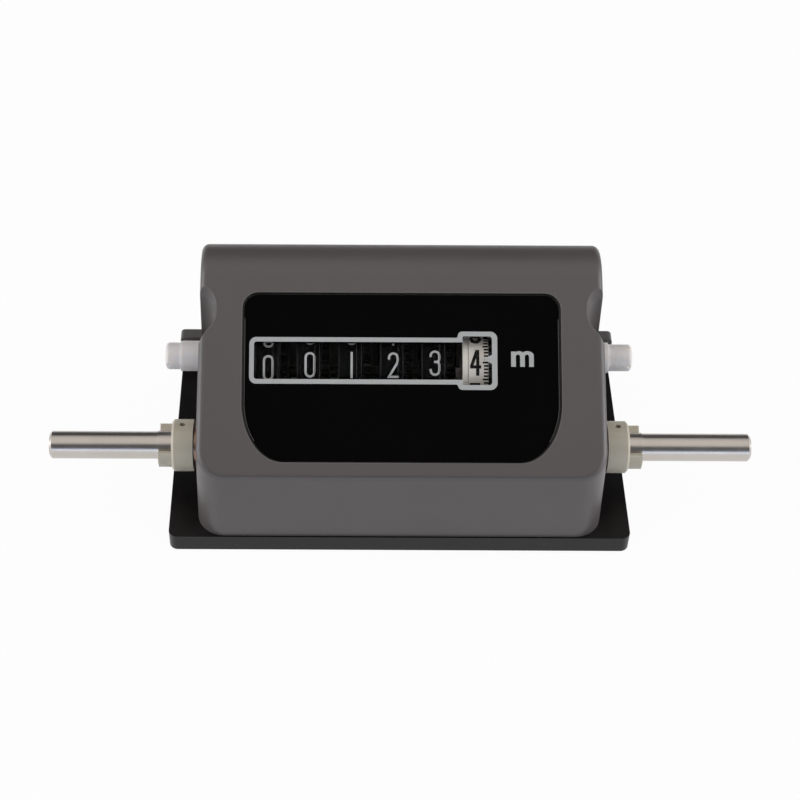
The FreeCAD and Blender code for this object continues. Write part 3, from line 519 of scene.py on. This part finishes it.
# %% Give every solid its finish
slot_of_node = {entry["node"]: entry["material_slot"] for entry in frame["record"]["subparts"]}
for name, node_object in frame["nodes"].items():
    chosen = "dark_pin" if name.startswith("collar_pin") else slot_of_node[name]
    for index in range(len(node_object.material_slots)):
        node_object.material_slots[index].material = finishes[chosen]
print("dressed", len(slot_of_node), "nodes")

# %% [markdown]
# # Inks
# The prints are thin layers of ink. Each is a real sheet a few hundredths of a millimetre thick, so it
# catches light as ink does, and it comes with the object wherever it goes. Two sheets here are no ink: the
# pale line on the fascia rim is a painted highlight, and the grey of the wheel ridges is one in part.

# %% Inks
DRY_INK = dict(roughness=0.5, grain_size=0.2, grain_depth=0.004, edge_gain=0.5)

ink_values = {
    "frame_print": dict(
        tone=(0.415, 0.42, 0.415), other_tone=(0.38, 0.385, 0.38), edge_tone=(0.53, 0.54, 0.54),
        patch_size=3, specular=0.2, **DRY_INK),
    "digit_print": dict(
        tone=(0.36, 0.36, 0.36), other_tone=(0.31, 0.31, 0.31), edge_tone=(0.45, 0.45, 0.45),
        patch_size=3, specular=0.2, **DRY_INK),
    "black_print": dict(
        tone=(0.004, 0.0035, 0.003), other_tone=(0.007, 0.006, 0.005), edge_tone=(0.02, 0.018, 0.016),
        patch_size=2, specular=0.08, **DRY_INK),
    # A paler strip on the fascia rim: a painted highlight, not ink.
    "fascia_rim": dict(
        tone=(0.055, 0.052, 0.052), other_tone=(0.045, 0.040, 0.040), edge_tone=(0.09, 0.085, 0.085),
        patch_size=10, roughness=0.35, grain_size=0.4, grain_depth=0.004),
    # Ridge grey, paler than the black wheel: a painted highlight on real ridges.
    "wheel_ridge": dict(
        tone=(0.011, 0.011, 0.011), other_tone=(0.008, 0.008, 0.008), edge_tone=(0.03, 0.03, 0.03),
        patch_size=4, roughness=0.42, grain_size=0.4, grain_depth=0.004, specular=0.15),
}
inks = {name: coated_finish(name, **values) for name, values in ink_values.items()}
print("inks:", ", ".join(sorted(inks)))

# %% [markdown]
# # Lines along a path with Geometry Nodes
# Fine lines of even width follow the edge of the fascia as a painted highlight. A tree sweeps a flat strip
# along a path and gives it its finish. Every tree begins and ends in the same way, so two helpers do that.

# %% Tree: line along an outline


def new_tree(name, *inputs):
    """A Geometry Nodes tree with a geometry and a material beside its own inputs."""
    tree, source, target = new_group(
        name, "GeometryNodeTree",
        [("Geometry", "Geometry", None), *inputs, ("Ink", "Material", None)],
        [("Geometry", "Geometry")])
    tree.is_modifier = True
    return tree, source, target


def end_tree(tree, geometry, source, target):
    """Ends a tree: instances become real geometry and get the ink."""
    realize = add_node(tree, "GeometryNodeRealizeInstances", Geometry=geometry)
    inked = add_node(tree, "GeometryNodeSetMaterial", Geometry=realize.outputs["Geometry"],
                     Material=source["Ink"])
    link(tree, inked.outputs["Geometry"], target["Geometry"])
    return tree


def build_outline_tree():
    tree, source, target = new_tree(
        "printed_outline", ("Line Width", "Float", 0.16 * MM),
        ("Ink Height", "Float", 0.06 * MM))
    path = add_node(tree, "GeometryNodeMeshToCurve", Mesh=source["Geometry"])
    upright = add_node(tree, "GeometryNodeSetCurveNormal", mode="Z_UP", Curve=path.outputs["Curve"])
    strip = add_node(tree, "GeometryNodeCurvePrimitiveQuadrilateral", Width=source["Line Width"],
                     Height=source["Ink Height"])
    sweep = add_node(tree, "GeometryNodeCurveToMesh", Curve=upright.outputs["Curve"],
                     Profile_Curve=strip.outputs["Curve"], Fill_Caps=True)
    flat = add_node(tree, "GeometryNodeSetShadeSmooth", Shade_Smooth=False)
    link(tree, sweep.outputs["Mesh"], flat.inputs[0])
    return end_tree(tree, flat.outputs[0], source, target)


outline_tree = build_outline_tree()
print("tree:", outline_tree.name)

# %% [markdown]
# # From a tree to a piece
# An object of its own runs the tree, and its result is kept as a plain mesh. Normals are turned outwards,
# and the piece rides on a body, so that it moves with it. Prints on the fascia are drawn flat and laid on
# its slope, which needs one turn and one shift.

# %% Helpers that turn a tree's result into a finished piece


def new_object(name, mesh):
    made = bpy.data.objects.new(name, mesh)
    scene.collection.objects.link(made)
    return made


def run_tree(made, tree, **values):
    """Runs a Geometry Nodes tree on an object and keeps the result as its plain mesh."""
    modifier = made.modifiers.new(tree.name, "NODES")
    modifier.node_group = tree
    for item in tree.interface.items_tree:
        key = item.name.replace(" ", "_")
        if item.in_out == "INPUT" and key in values:
            modifier[item.identifier] = values[key]
    bpy.context.view_layer.update()
    evaluated = made.evaluated_get(bpy.context.evaluated_depsgraph_get())
    mesh = bpy.data.meshes.new_from_object(evaluated)
    made.modifiers.remove(modifier)
    made.data = mesh
    return made


def finish_piece(made, body):
    """Makes all normals point outwards and lets the piece move with a body."""
    shape = bmesh.new()
    shape.from_mesh(made.data)
    bmesh.ops.remove_doubles(shape, verts=shape.verts, dist=1e-7)
    bmesh.ops.recalc_face_normals(shape, faces=shape.faces)
    shape.to_mesh(made.data)
    shape.free()
    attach(made, body)
    print(made.name, "faces", len(made.data.polygons), "rides", body)


def lay_on_fascia(made):
    """Finishes a flat drawing, X across and Y up the slope, as a print on the sloping sheet."""
    made.data.transform(Matrix.Translation(face_point(0, 0)) @ Matrix.Rotation(FACE_TILT, 4, "X"))
    finish_piece(made, "case")


# %% [markdown]
# # The frame round the window
# The line runs round the five black wheels and steps out round the white wheel, which has a taller opening.
# Its outer and its inner edge are drawn as two outlines with as many corners, each corner with its own
# rounding. A ring of faces joins them and is given the thickness of ink.

# %% Printed frame


def arc(centre_x, centre_y, reach_x, reach_y, start, end, steps=8):
    """Points along part of an ellipse, in degrees."""
    points = []
    for index in range(steps + 1):
        angle = math.radians(start + (end - start) * index / steps)
        points.append((centre_x + reach_x * math.cos(angle), centre_y + reach_y * math.sin(angle)))
    return points


def rounded_outline(corners, steps=6):
    """Points round a closed outline of square corners, each given as x, y and its rounding."""
    points = []
    for index, (x, y, radius) in enumerate(corners):
        here = Vector((x, y))
        before = (Vector(corners[index - 1][:2]) - here).normalized()
        after = (Vector(corners[(index + 1) % len(corners)][:2]) - here).normalized()
        centre = here + (before + after) * radius
        for step in range(steps + 1):
            turn = math.pi / 2 * step / steps
            spoke = after * radius * math.cos(turn) + before * radius * math.sin(turn)
            points.append(tuple(centre - spoke))
    return points


def frame_corners(left, right, low, high, box_left, box_low, box_high, end, box, joint, box_corner):
    """The eight corners of one edge of the frame, anticlockwise from the lower left."""
    return [
        (left, low, end), (box_left, low, joint),
        (box_left, box_low, box_corner), (right, box_low, box),
        (right, box_high, box), (box_left, box_high, box_corner),
        (box_left, high, joint), (left, high, end)]


def close_walls(shape, rows, closed=True):
    """Joins four rows of points, each to the next one, into a tube or a ring."""
    count = len(rows[0])
    for index in range(count if closed else count - 1):
        following = (index + 1) % count
        for row in range(4):
            near, far = rows[row], rows[(row + 1) % 4]
            shape.faces.new((near[index], near[following], far[following], far[index]))


def mesh_from(shape, name, material):
    mesh = bpy.data.meshes.new(name)
    shape.to_mesh(mesh)
    shape.free()
    mesh.materials.append(material)
    return mesh


def ring_print(name, outer, inner, ink, thickness=0.08):
    """A flat ring between two outlines in millimetres, as a thin closed solid."""
    shape = bmesh.new()
    rows = []
    for points, z in ((outer, 1), (inner, 1), (inner, -1), (outer, -1)):
        rows.append([shape.verts.new((x * MM, y * MM, z * thickness * MM / 2)) for x, y in points])
    close_walls(shape, rows)
    return new_object(name, mesh_from(shape, name, ink))


frame_outer = rounded_outline(frame_corners(
    -37.7, 23.68, 23.55, 35.27, 13.9, 22.2, 36.85, end=1.7, box=1.7, joint=0.45, box_corner=1.15))
frame_inner = rounded_outline(frame_corners(
    -36.55, 22.35, 24.72, 34.13, 15.1, 23.42, 35.66, end=0.65, box=0.7, joint=0.12, box_corner=0.35))
window_frame = ring_print("window_frame_print", frame_outer, frame_inner, inks["frame_print"])
lay_on_fascia(window_frame)

# %% [markdown]
# # Pointer
# The small triangle points at the tenth that counts. A flat shape like this is quickest as an outline drawn
# point by point, filled, and given the thickness of ink.

# %% Flat filled prints


def filled_print(name, points, ink, thickness=0.04):
    """A flat shape with an outline in millimetres, as a thin closed solid."""
    shape = bmesh.new()
    corners = [shape.verts.new((x * MM, y * MM, -thickness * MM / 2)) for x, y in points]
    face = shape.faces.new(corners)
    raised = bmesh.ops.extrude_face_region(shape, geom=[face])
    lifted = [item for item in raised["geom"] if isinstance(item, bmesh.types.BMVert)]
    bmesh.ops.translate(shape, verts=lifted, vec=(0, 0, thickness * MM))
    bmesh.ops.triangulate(shape, faces=[item for item in shape.faces if len(item.verts) > 4])
    return new_object(name, mesh_from(shape, name, ink))


POINTER_CORNERS = [(20.15, 30.0), (22.75, 28.5), (22.75, 31.2)]
POINTER_INK_HEIGHT = 0.07
pointer = filled_print("pointer_print", POINTER_CORNERS, inks["frame_print"], POINTER_INK_HEIGHT)
lay_on_fascia(pointer)

# %% [markdown]
# # Unit mark
# The m says metres. It has three legs of one width and two round arches, so a function draws it from its
# place and its sizes.

# %% Unit mark


def letter_m(left, low, width, height, leg):
    """Outline of a bold m with two round arches."""
    gap = (width - 3 * leg) / 2
    middle = left + leg + gap
    top = low + height
    roof = 0.86
    shoulder = 0.12
    notch = 0.62
    first_rise = 1.0
    second_rise = 1.15
    points = [(left, low), (left, top - shoulder), (left + leg, top - shoulder), (left + leg, top - notch)]
    points += arc(left + leg + gap / 2 + 0.28, top - first_rise, gap / 2 + notch, first_rise, 150, 38, 6)
    points += arc(middle + leg + gap / 2 + shoulder, top - second_rise,
                  gap / 2 + leg - shoulder, second_rise, 142, 0, 10)
    points += [(left + width, low), (left + width - leg, low)]
    points += arc(middle + leg + gap / 2, top - roof - gap / 2, gap / 2, gap / 2, 0, 180, 8)
    points += [(middle + leg, low), (middle, low)]
    points += arc(left + leg + gap / 2, top - roof - gap / 2, gap / 2, gap / 2, 0, 180, 8)
    points += [(left + leg, low)]
    return points


letter_outline = letter_m(left=27.08, low=28.05, width=5.6, height=3.95, leg=1.16)
unit_mark = filled_print("unit_mark_print", letter_outline, inks["frame_print"])
lay_on_fascia(unit_mark)

# %% [markdown]
# # The rim of the fascia
# The fine line of light that the sheet catches along its two sides and round its lower corners, just
# inside the pocket, is a painted highlight: a paler strip laid on the sheet. A tree suits a line that
# follows a path. The path is drawn flat, with its corner as part of an ellipse, and the swept line is set
# on the sloping sheet afterwards.

# %% Painted highlight lines along the edges of the fascia
RIM_X = 38.85
RIM_LOW = 4.5
RIM_HIGH = 40.0
RIM_CORNER_X = 10.0
RIM_CORNER_SLOPE = 14.4
RIM_LINE_WIDTH = 0.16
RIM_LINE_HEIGHT = 0.06


def open_path(points):
    """A chain of edges through points in millimetres."""
    mesh = bpy.data.meshes.new("path")
    places = [(x * MM, y * MM, 0) for x, y in points]
    mesh.from_pydata(places, [(index, index + 1) for index in range(len(places) - 1)], [])
    return mesh


for side_name, side in (("left", -1), ("right", 1)):
    corner = arc(RIM_X - RIM_CORNER_X, RIM_LOW + RIM_CORNER_SLOPE, RIM_CORNER_X, RIM_CORNER_SLOPE,
                 start=0, end=-42, steps=12)
    rim_points = [(side * x, y) for x, y in [(RIM_X, RIM_HIGH)] + corner]
    edge_line = new_object("fascia_edge_line_" + side_name, open_path(rim_points))
    run_tree(edge_line, outline_tree, Line_Width=RIM_LINE_WIDTH * MM, Ink_Height=RIM_LINE_HEIGHT * MM,
             Ink=inks["fascia_rim"])
    lay_on_fascia(edge_line)

# %% [markdown]
# # Digits
# The digits are narrow, of even stroke, and round at the turns. Each is drawn as the middle line of its
# strokes, in straight runs and arcs, because a font would bring other shapes and a file of its own.

# %% Strokes of the ten digits
HALF_WIDTH = 1.075
HALF_HEIGHT = 2.95
TURN_Y = HALF_HEIGHT - HALF_WIDTH


def digit_strokes():
    """Middle lines of the digits 0 to 9 in millimetres: (points, closed)."""
    w, h, t = HALF_WIDTH, HALF_HEIGHT, TURN_Y
    end = h + 0.35
    hook = 0.35
    waist = 0.25
    knee = 0.8
    small = 0.95
    stem = 0.5
    bar = -1.1
    top_turn = arc(0, t, w, w, 180, 0)
    low_turn = arc(0, -t, w, w, 0, -180)
    zero = [(arc(0, t, w, w, 0, 180) + arc(0, -t, w, w, 180, 360), True)]
    one = [([(0, end), (0, -end)], False)]
    two = [([(-w, t - 0.5)] + top_turn + [(w, 1.0), (0.82 * w, 0.35), (-w, -h), (w + 0.3, -h)], False)]
    upper_knee = arc(w - knee, waist + knee, knee, knee, 0, -90, 5)
    lower_knee = arc(w - knee, waist - knee, knee, knee, 80, 0, 5)
    three = [
        ([(-w, t - hook)] + top_turn + upper_knee + [(-0.25, waist)], False),
        (lower_knee + low_turn + [(-w, -t + hook)], False)]
    four = [
        ([(stem, end), (stem, -end)], False),
        ([(0.36, end - 0.1), (-1.1, bar)], False),
        ([(-1.4, bar), (1.35, bar)], False)]
    five = [([(w + 0.1, h), (-w + 0.05, h), (-w, 0.1)] + arc(0, 0.5 - w, w, w, 138, 0)
             + low_turn + [(-w, -t + hook)], False)]
    six = [([(w, t - 0.3)] + arc(0, t, w, w, 0, 180) + arc(0, -t, w, w, 180, 360)
            + arc(0, 0.55 - w, w, w, 0, 150), False)]
    seven = [([(-w - 0.25, h), (w, h), (-0.35, -end)], False)]
    eight = [
        (arc(0, h - small, small, small, 0, 180) + arc(0, 0.3 + small, small, small, 180, 360), True),
        (arc(0, 0.3 - w, w, w, 0, 180) + arc(0, -t, w, w, 180, 360), True)]
    nine = [([(-x, -y) for x, y in points], closed) for points, closed in six]
    return [zero, one, two, three, four, five, six, seven, eight, nine]


DIGITS = digit_strokes()
print("digits:", len(DIGITS))

# %% [markdown]
# A stroke is as wide all along, also round a corner, so each side of it is set off from the middle line and
# mitred. Strokes of one digit that cross differ a little in thickness, so that their faces don't lie in one
# plane. All ten digits of a wheel go on one flat tape.

# %% Stroke width and the flat tape
LAYER_STEP = 0.003
LONGEST_MITRE = 2.6


def offset_sides(points, closed, width):
    """Left and right side of a line of even width, mitred at its corners."""
    count = len(points)
    left, right = [], []
    for index in range(count):
        here = Vector(points[index])
        before = Vector(points[index - 1]) if closed or index > 0 else None
        after = Vector(points[(index + 1) % count]) if closed or index < count - 1 else None
        into = (here - before).normalized() if before is not None else (after - here).normalized()
        out = (after - here).normalized() if after is not None else into
        normal = Vector((-(into + out).y, (into + out).x)).normalized()
        stretch = min(1 / max(normal.dot(Vector((-into.y, into.x))), 0.3), LONGEST_MITRE)
        left.append(here + normal * width / 2 * stretch)
        right.append(here - normal * width / 2 * stretch)
    return left, right


def evenly_filled(points, closed, longest=0.8):
    """Drops repeated points, and fills long stretches so that they can bend round a wheel."""
    kept = [Vector(points[0])]
    for point in points[1:] + (points[:1] if closed else []):
        gap = Vector(point) - kept[-1]
        parts = max(1, math.ceil(gap.length / longest))
        if gap.length > 0.01:
            kept += [kept[-1] + gap * (part / parts) for part in range(1, parts + 1)]
    return kept[:-1] if closed else kept


def add_stroke(shape, points, closed, width, thickness, shift):
    """Adds one stroke to a mesh as a thin closed solid."""
    points = evenly_filled(points, closed)
    left, right = offset_sides(points, closed, width)
    rows = []
    for side, z in ((left, thickness), (right, thickness), (right, -thickness), (left, -thickness)):
        rows.append([shape.verts.new((point.x * MM, (point.y + shift) * MM, z * MM)) for point in side])
    close_walls(shape, rows, closed)
    if not closed:
        shape.faces.new([row[0] for row in rows])
        shape.faces.new([row[-1] for row in reversed(rows)])


def digit_tape(name, stroke_width, ink, thickness=0.025):
    """A flat strip with the digits 0 to 9 below each other, a tenth of a turn apart."""
    shape = bmesh.new()
    step = DIGIT_STEP * WHEEL_RADIUS / MM
    for digit, strokes in enumerate(DIGITS):
        for layer, (points, closed) in enumerate(strokes):
            add_stroke(shape, points, closed, stroke_width, thickness + layer * LAYER_STEP, -digit * step)
    return mesh_from(shape, name, ink)


# %% [markdown]
# A printing machine rolls the wheel over a flat plate. A tree does the same: the distance along the tape
# becomes an angle, and the height above it adds to the radius. A new wheel radius bends the tape anew.

# %% Tree: bend a flat tape round a wheel


def set_places(tree, geometry, start, x, y, z):
    """Moves every point to x, y and z from a start."""
    moved = add_node(tree, "ShaderNodeVectorMath", operation="ADD")
    link(tree, add_node(tree, "ShaderNodeCombineXYZ", X=x, Y=y, Z=z).outputs[0], moved.inputs[0])
    link(tree, start, moved.inputs[1])
    placed = add_node(tree, "GeometryNodeSetPosition", Geometry=geometry, Position=moved.outputs[0])
    return placed.outputs["Geometry"]


def build_wrap_tree():
    tree, source, target = new_tree(
        "wrap_round_wheel", ("Wheel Radius", "Float", WHEEL_RADIUS),
        ("Centre", "Vector", (0, 0, 0)), ("Start Angle", "Float", 0.0))
    flat_place = add_node(tree, "GeometryNodeInputPosition").outputs[0]
    split = add_node(tree, "ShaderNodeSeparateXYZ", Vector=flat_place)
    turn = math_node(tree, "DIVIDE", split.outputs["Y"], source["Wheel Radius"])
    angle = math_node(tree, "SUBTRACT", source["Start Angle"], turn)
    reach = math_node(tree, "ADD", split.outputs["Z"], source["Wheel Radius"])
    y = math_node(tree, "MULTIPLY", reach, math_node(tree, "COSINE", angle))
    z = math_node(tree, "MULTIPLY", reach, math_node(tree, "SINE", angle))
    bent = set_places(tree, source["Geometry"], source["Centre"], split.outputs["X"], y, z)
    return end_tree(tree, bent, source, target)


wrap_tree = build_wrap_tree()
print("tree:", wrap_tree.name)

# %% [markdown]
# The counter shows 001234. Each tape starts at the angle that brings its digit under the window. Two black
# wheels stand a little off, as in the photograph, and the white wheel has bolder black digits.

# %% Digits on all wheels
READING_OFFSETS = {"ten_thousands": math.radians(3.6), "units": math.radians(-2.4)}
WHITE_WHEEL_STROKE = 0.82
BLACK_WHEEL_STROKE = 0.54
BLACK_DIGIT_SHIFT = 0.25 * MM


def wheel_centre(index):
    return Vector((TENTHS_X - index * WHEEL_PITCH, WHEEL_AXIS.y, WHEEL_AXIS.z))


for index, name in enumerate(WHEEL_NAMES):
    if name == "tenths":
        ink, stroke, slot = inks["black_print"], WHITE_WHEEL_STROKE, "white_wheel"
        reading, shift = WHITE_READING_ANGLE, 0.0
    else:
        ink, stroke, slot = inks["digit_print"], BLACK_WHEEL_STROKE, "black_wheel"
        reading, shift = READING_ANGLE, BLACK_DIGIT_SHIFT
    tape = new_object("digits_" + name, digit_tape("digits_" + name, stroke, ink))
    start = reading - SHOWN_DIGITS[index] * DIGIT_STEP + READING_OFFSETS.get(name, 0.0)
    centre = wheel_centre(index)
    centre.x += shift
    run_tree(tape, wrap_tree, Wheel_Radius=WHEEL_RADIUS, Centre=centre, Start_Angle=start, Ink=ink)
    finish_piece(tape, "wheel_" + name)

# %% [markdown]
# # Fine marks on the white wheel
# A hundred short marks run round the right edge of the white wheel, and every fifth is longer. They repeat
# evenly, which is what instances are for: one tree sets a short or a long bar on each of a hundred points.

# %% Tree: ring of marks


def build_marks_tree():
    tree, source, target = new_tree(
        "ring_of_marks", ("Marks", "Int", 100), ("Long Every", "Int", 5),
        ("Short Length", "Float", 1.1 * MM), ("Long Length", "Float", 1.42 * MM),
        ("Mark Width", "Float", 0.46 * MM), ("Ink Height", "Float", 0.05 * MM),
        ("Wheel Radius", "Float", WHEEL_RADIUS), ("Right End", "Vector", (0, 0, 0)),
        ("Start Angle", "Float", 0.0))
    points = add_node(tree, "GeometryNodeMeshLine", Count=source["Marks"])
    index = add_node(tree, "GeometryNodeInputIndex").outputs[0]
    step = math_node(tree, "DIVIDE", 2 * math.pi, source["Marks"])
    angle = math_node(tree, "ADD", math_node(tree, "MULTIPLY", index, step), source["Start Angle"])
    y = math_node(tree, "MULTIPLY", source["Wheel Radius"], math_node(tree, "COSINE", angle))
    z = math_node(tree, "MULTIPLY", source["Wheel Radius"], math_node(tree, "SINE", angle))
    rest = math_node(tree, "MODULO", index, source["Long Every"])
    is_long = math_node(tree, "LESS_THAN", rest, 0.5)
    is_short = math_node(tree, "SUBTRACT", 1.0, is_long)
    join = add_node(tree, "GeometryNodeJoinGeometry")
    for chosen, length in ((is_long, "Long Length"), (is_short, "Short Length")):
        half = math_node(tree, "MULTIPLY", source[length], -0.5)
        placed = set_places(tree, points.outputs["Mesh"], source["Right End"], half, y, z)
        size = add_node(tree, "ShaderNodeCombineXYZ", X=source[length],
                        Y=source["Mark Width"], Z=source["Ink Height"])
        bar = add_node(tree, "GeometryNodeMeshCube", Size=size.outputs[0])
        tilt = add_node(tree, "ShaderNodeCombineXYZ", X=math_node(tree, "SUBTRACT", angle, math.pi / 2))
        copies = add_node(tree, "GeometryNodeInstanceOnPoints", Points=placed, Selection=chosen,
                          Instance=bar.outputs["Mesh"], Rotation=tilt.outputs[0])
        link(tree, copies.outputs["Instances"], join.inputs["Geometry"])
    return end_tree(tree, join.outputs["Geometry"], source, target)


marks_tree = build_marks_tree()
print("tree:", marks_tree.name)

# %% The marks
MARKS_RIGHT_END = 21.58 * MM
marks = new_object("tenth_marks", bpy.data.meshes.new("tenth_marks"))
marks_end = Vector((MARKS_RIGHT_END, WHEEL_AXIS.y, WHEEL_AXIS.z))
run_tree(marks, marks_tree, Marks=100, Long_Every=5, Short_Length=1.1 * MM, Long_Length=1.42 * MM,
         Mark_Width=0.46 * MM, Ink_Height=0.05 * MM, Wheel_Radius=WHEEL_RADIUS, Right_End=marks_end,
         Start_Angle=WHITE_READING_ANGLE, Ink=inks["black_print"])
finish_piece(marks, "wheel_tenths")

# %% [markdown]
# # Ridges on the black wheels
# Each black wheel has fine ridges round its rim, beside the digits, which show as faint lines in the
# window where they catch light; their grey, paler than the wheel, is a painted highlight on real ridges.
# One tree sweeps a thin round profile along a ring and sets it at three places across the wheel.

# %% Tree: ridge rings


def build_ridge_tree():
    tree, source, target = new_tree(
        "ridge_rings", ("Ridge Radius", "Float", WHEEL_RADIUS),
        ("Ridge Thickness", "Float", 0.07 * MM), ("Centre", "Vector", (0, 0, 0)))
    ring = add_node(tree, "GeometryNodeCurvePrimitiveCircle", Resolution=96, Radius=source["Ridge Radius"])
    profile = add_node(tree, "GeometryNodeCurvePrimitiveCircle", Resolution=6,
                       Radius=source["Ridge Thickness"])
    sweep = add_node(tree, "GeometryNodeCurveToMesh", Curve=ring.outputs["Curve"],
                     Profile_Curve=profile.outputs["Curve"])
    upright = add_node(tree, "GeometryNodeTransform", Geometry=sweep.outputs["Mesh"],
                       Rotation=(0, math.pi / 2, 0))
    copies = add_node(tree, "GeometryNodeInstanceOnPoints", Points=source["Geometry"],
                      Instance=upright.outputs["Geometry"])
    moved = add_node(tree, "GeometryNodeTransform", Geometry=copies.outputs["Instances"],
                     Translation=source["Centre"])
    return end_tree(tree, moved.outputs["Geometry"], source, target)


ridge_tree = build_ridge_tree()
print("tree:", ridge_tree.name)

# %% The ridges
RIDGE_PLACES = (-2.87, 1.43, 2.64)
RIDGE_THICKNESS = 0.07 * MM
for index, name in enumerate(WHEEL_NAMES[1:], start=1):
    places = bpy.data.meshes.new("ridges_" + name)
    places.from_pydata([(x * MM, 0, 0) for x in RIDGE_PLACES], [], [])
    ridges = new_object("ridges_" + name, places)
    run_tree(ridges, ridge_tree, Ridge_Radius=WHEEL_RADIUS, Ridge_Thickness=RIDGE_THICKNESS,
             Centre=wheel_centre(index), Ink=inks["wheel_ridge"])
    finish_piece(ridges, "wheel_" + name)

# %% [markdown]
# # Floor
# The object stands on a plain white table, which sends light back to the walls of the housing and to the
# lower half of the shaft. Where the eye or a reflection meets the table, it is nearly plain white, and it
# keeps a soft shadow.

# %% Floor
PLAIN_WHITE_SHARE = 0.95


def build_floor_material():
    material = bpy.data.materials.new("white_table")
    material.use_nodes = True
    tree = material.node_tree
    tree.nodes.clear()
    paper = add_node(tree, "ShaderNodeBsdfDiffuse", Color=(0.82, 0.82, 0.82, 1))
    glow = add_node(tree, "ShaderNodeEmission", Color=(1, 1, 1, 1), Strength=1.0)
    path = add_node(tree, "ShaderNodeLightPath")
    seen = math_node(tree, "ADD", path.outputs["Is Camera Ray"], path.outputs["Is Glossy Ray"])
    seen = math_node(tree, "ADD", seen, path.outputs["Is Transmission Ray"], clamp=True)
    share = math_node(tree, "MULTIPLY", seen, PLAIN_WHITE_SHARE)
    mixed = add_node(tree, "ShaderNodeMixShader")
    output = add_node(tree, "ShaderNodeOutputMaterial")
    link(tree, share, mixed.inputs[0])
    link(tree, paper.outputs[0], mixed.inputs[1])
    link(tree, glow.outputs[0], mixed.inputs[2])
    link(tree, mixed.outputs[0], output.inputs["Surface"])
    return material


def build_floor(reach=6.0):
    shape = bmesh.new()
    corners = [(-reach, -reach, 0), (reach, -reach, 0), (reach, reach, 0), (-reach, reach, 0)]
    shape.faces.new([shape.verts.new(corner) for corner in corners])
    return new_object("table", mesh_from(shape, "table", build_floor_material()))


table = build_floor()

# %% [markdown]
# # Lamps and room
# A broad warm lamp hangs overhead, a low cool one stands in front, and one at each side lights the ends of
# the shaft. The room is dim in front and behind, which gives the shaft its dark bands, and brighter at the
# sides.

# %% Lamps


def soft_lamp(name, place, aim, width, depth, power, colour):
    lamp_data = bpy.data.lights.new(name, "AREA")
    lamp_data.shape = "RECTANGLE"
    lamp_data.size = width
    lamp_data.size_y = depth
    lamp_data.energy = power
    lamp_data.color = colour
    lamp = bpy.data.objects.new(name, lamp_data)
    scene.collection.objects.link(lamp)
    lamp.location = place
    lamp.rotation_euler = (Vector(aim) - Vector(place)).to_track_quat("-Z", "Y").to_euler()


soft_lamp("overhead_lamp", place=(0, -0.06, 1.0), aim=(0, -0.06, 0), width=2.4, depth=1.25, power=7.7,
          colour=(1.0, 0.96, 0.91))
soft_lamp("front_lamp", place=(0, -1.2, 0.13), aim=(0, 0, 0.02), width=2.0, depth=0.25, power=3.5,
          colour=(0.68, 0.80, 1.0))
for side in (-1, 1):
    soft_lamp("side_lamp", place=(side * 1.3, -0.1, 0.4), aim=(0, 0, 0.03), width=0.8, depth=0.8, power=9.5,
              colour=(0.95, 0.97, 1.0))

print("lamps:", len(bpy.data.lights))

# %% Room
ROOM_LEVEL = 0.07
ROOM_AT_THE_SIDES = 0.6
world = bpy.data.worlds.new("room")
scene.world = world
world.use_nodes = True
room_tree = world.node_tree
room = room_tree.nodes["Background"]
room.inputs["Color"].default_value = (0.94, 0.96, 1.0, 1)
direction = add_node(room_tree, "ShaderNodeTexCoord").outputs["Generated"]
x = add_node(room_tree, "ShaderNodeSeparateXYZ", Vector=direction).outputs["X"]
sideways = math_node(room_tree, "MULTIPLY", math_node(room_tree, "MULTIPLY", x, x), ROOM_AT_THE_SIDES)
link(room_tree, math_node(room_tree, "ADD", sideways, ROOM_LEVEL), room.inputs["Strength"])
print("room light:", ROOM_LEVEL, "to", round(ROOM_LEVEL + ROOM_AT_THE_SIDES, 2))
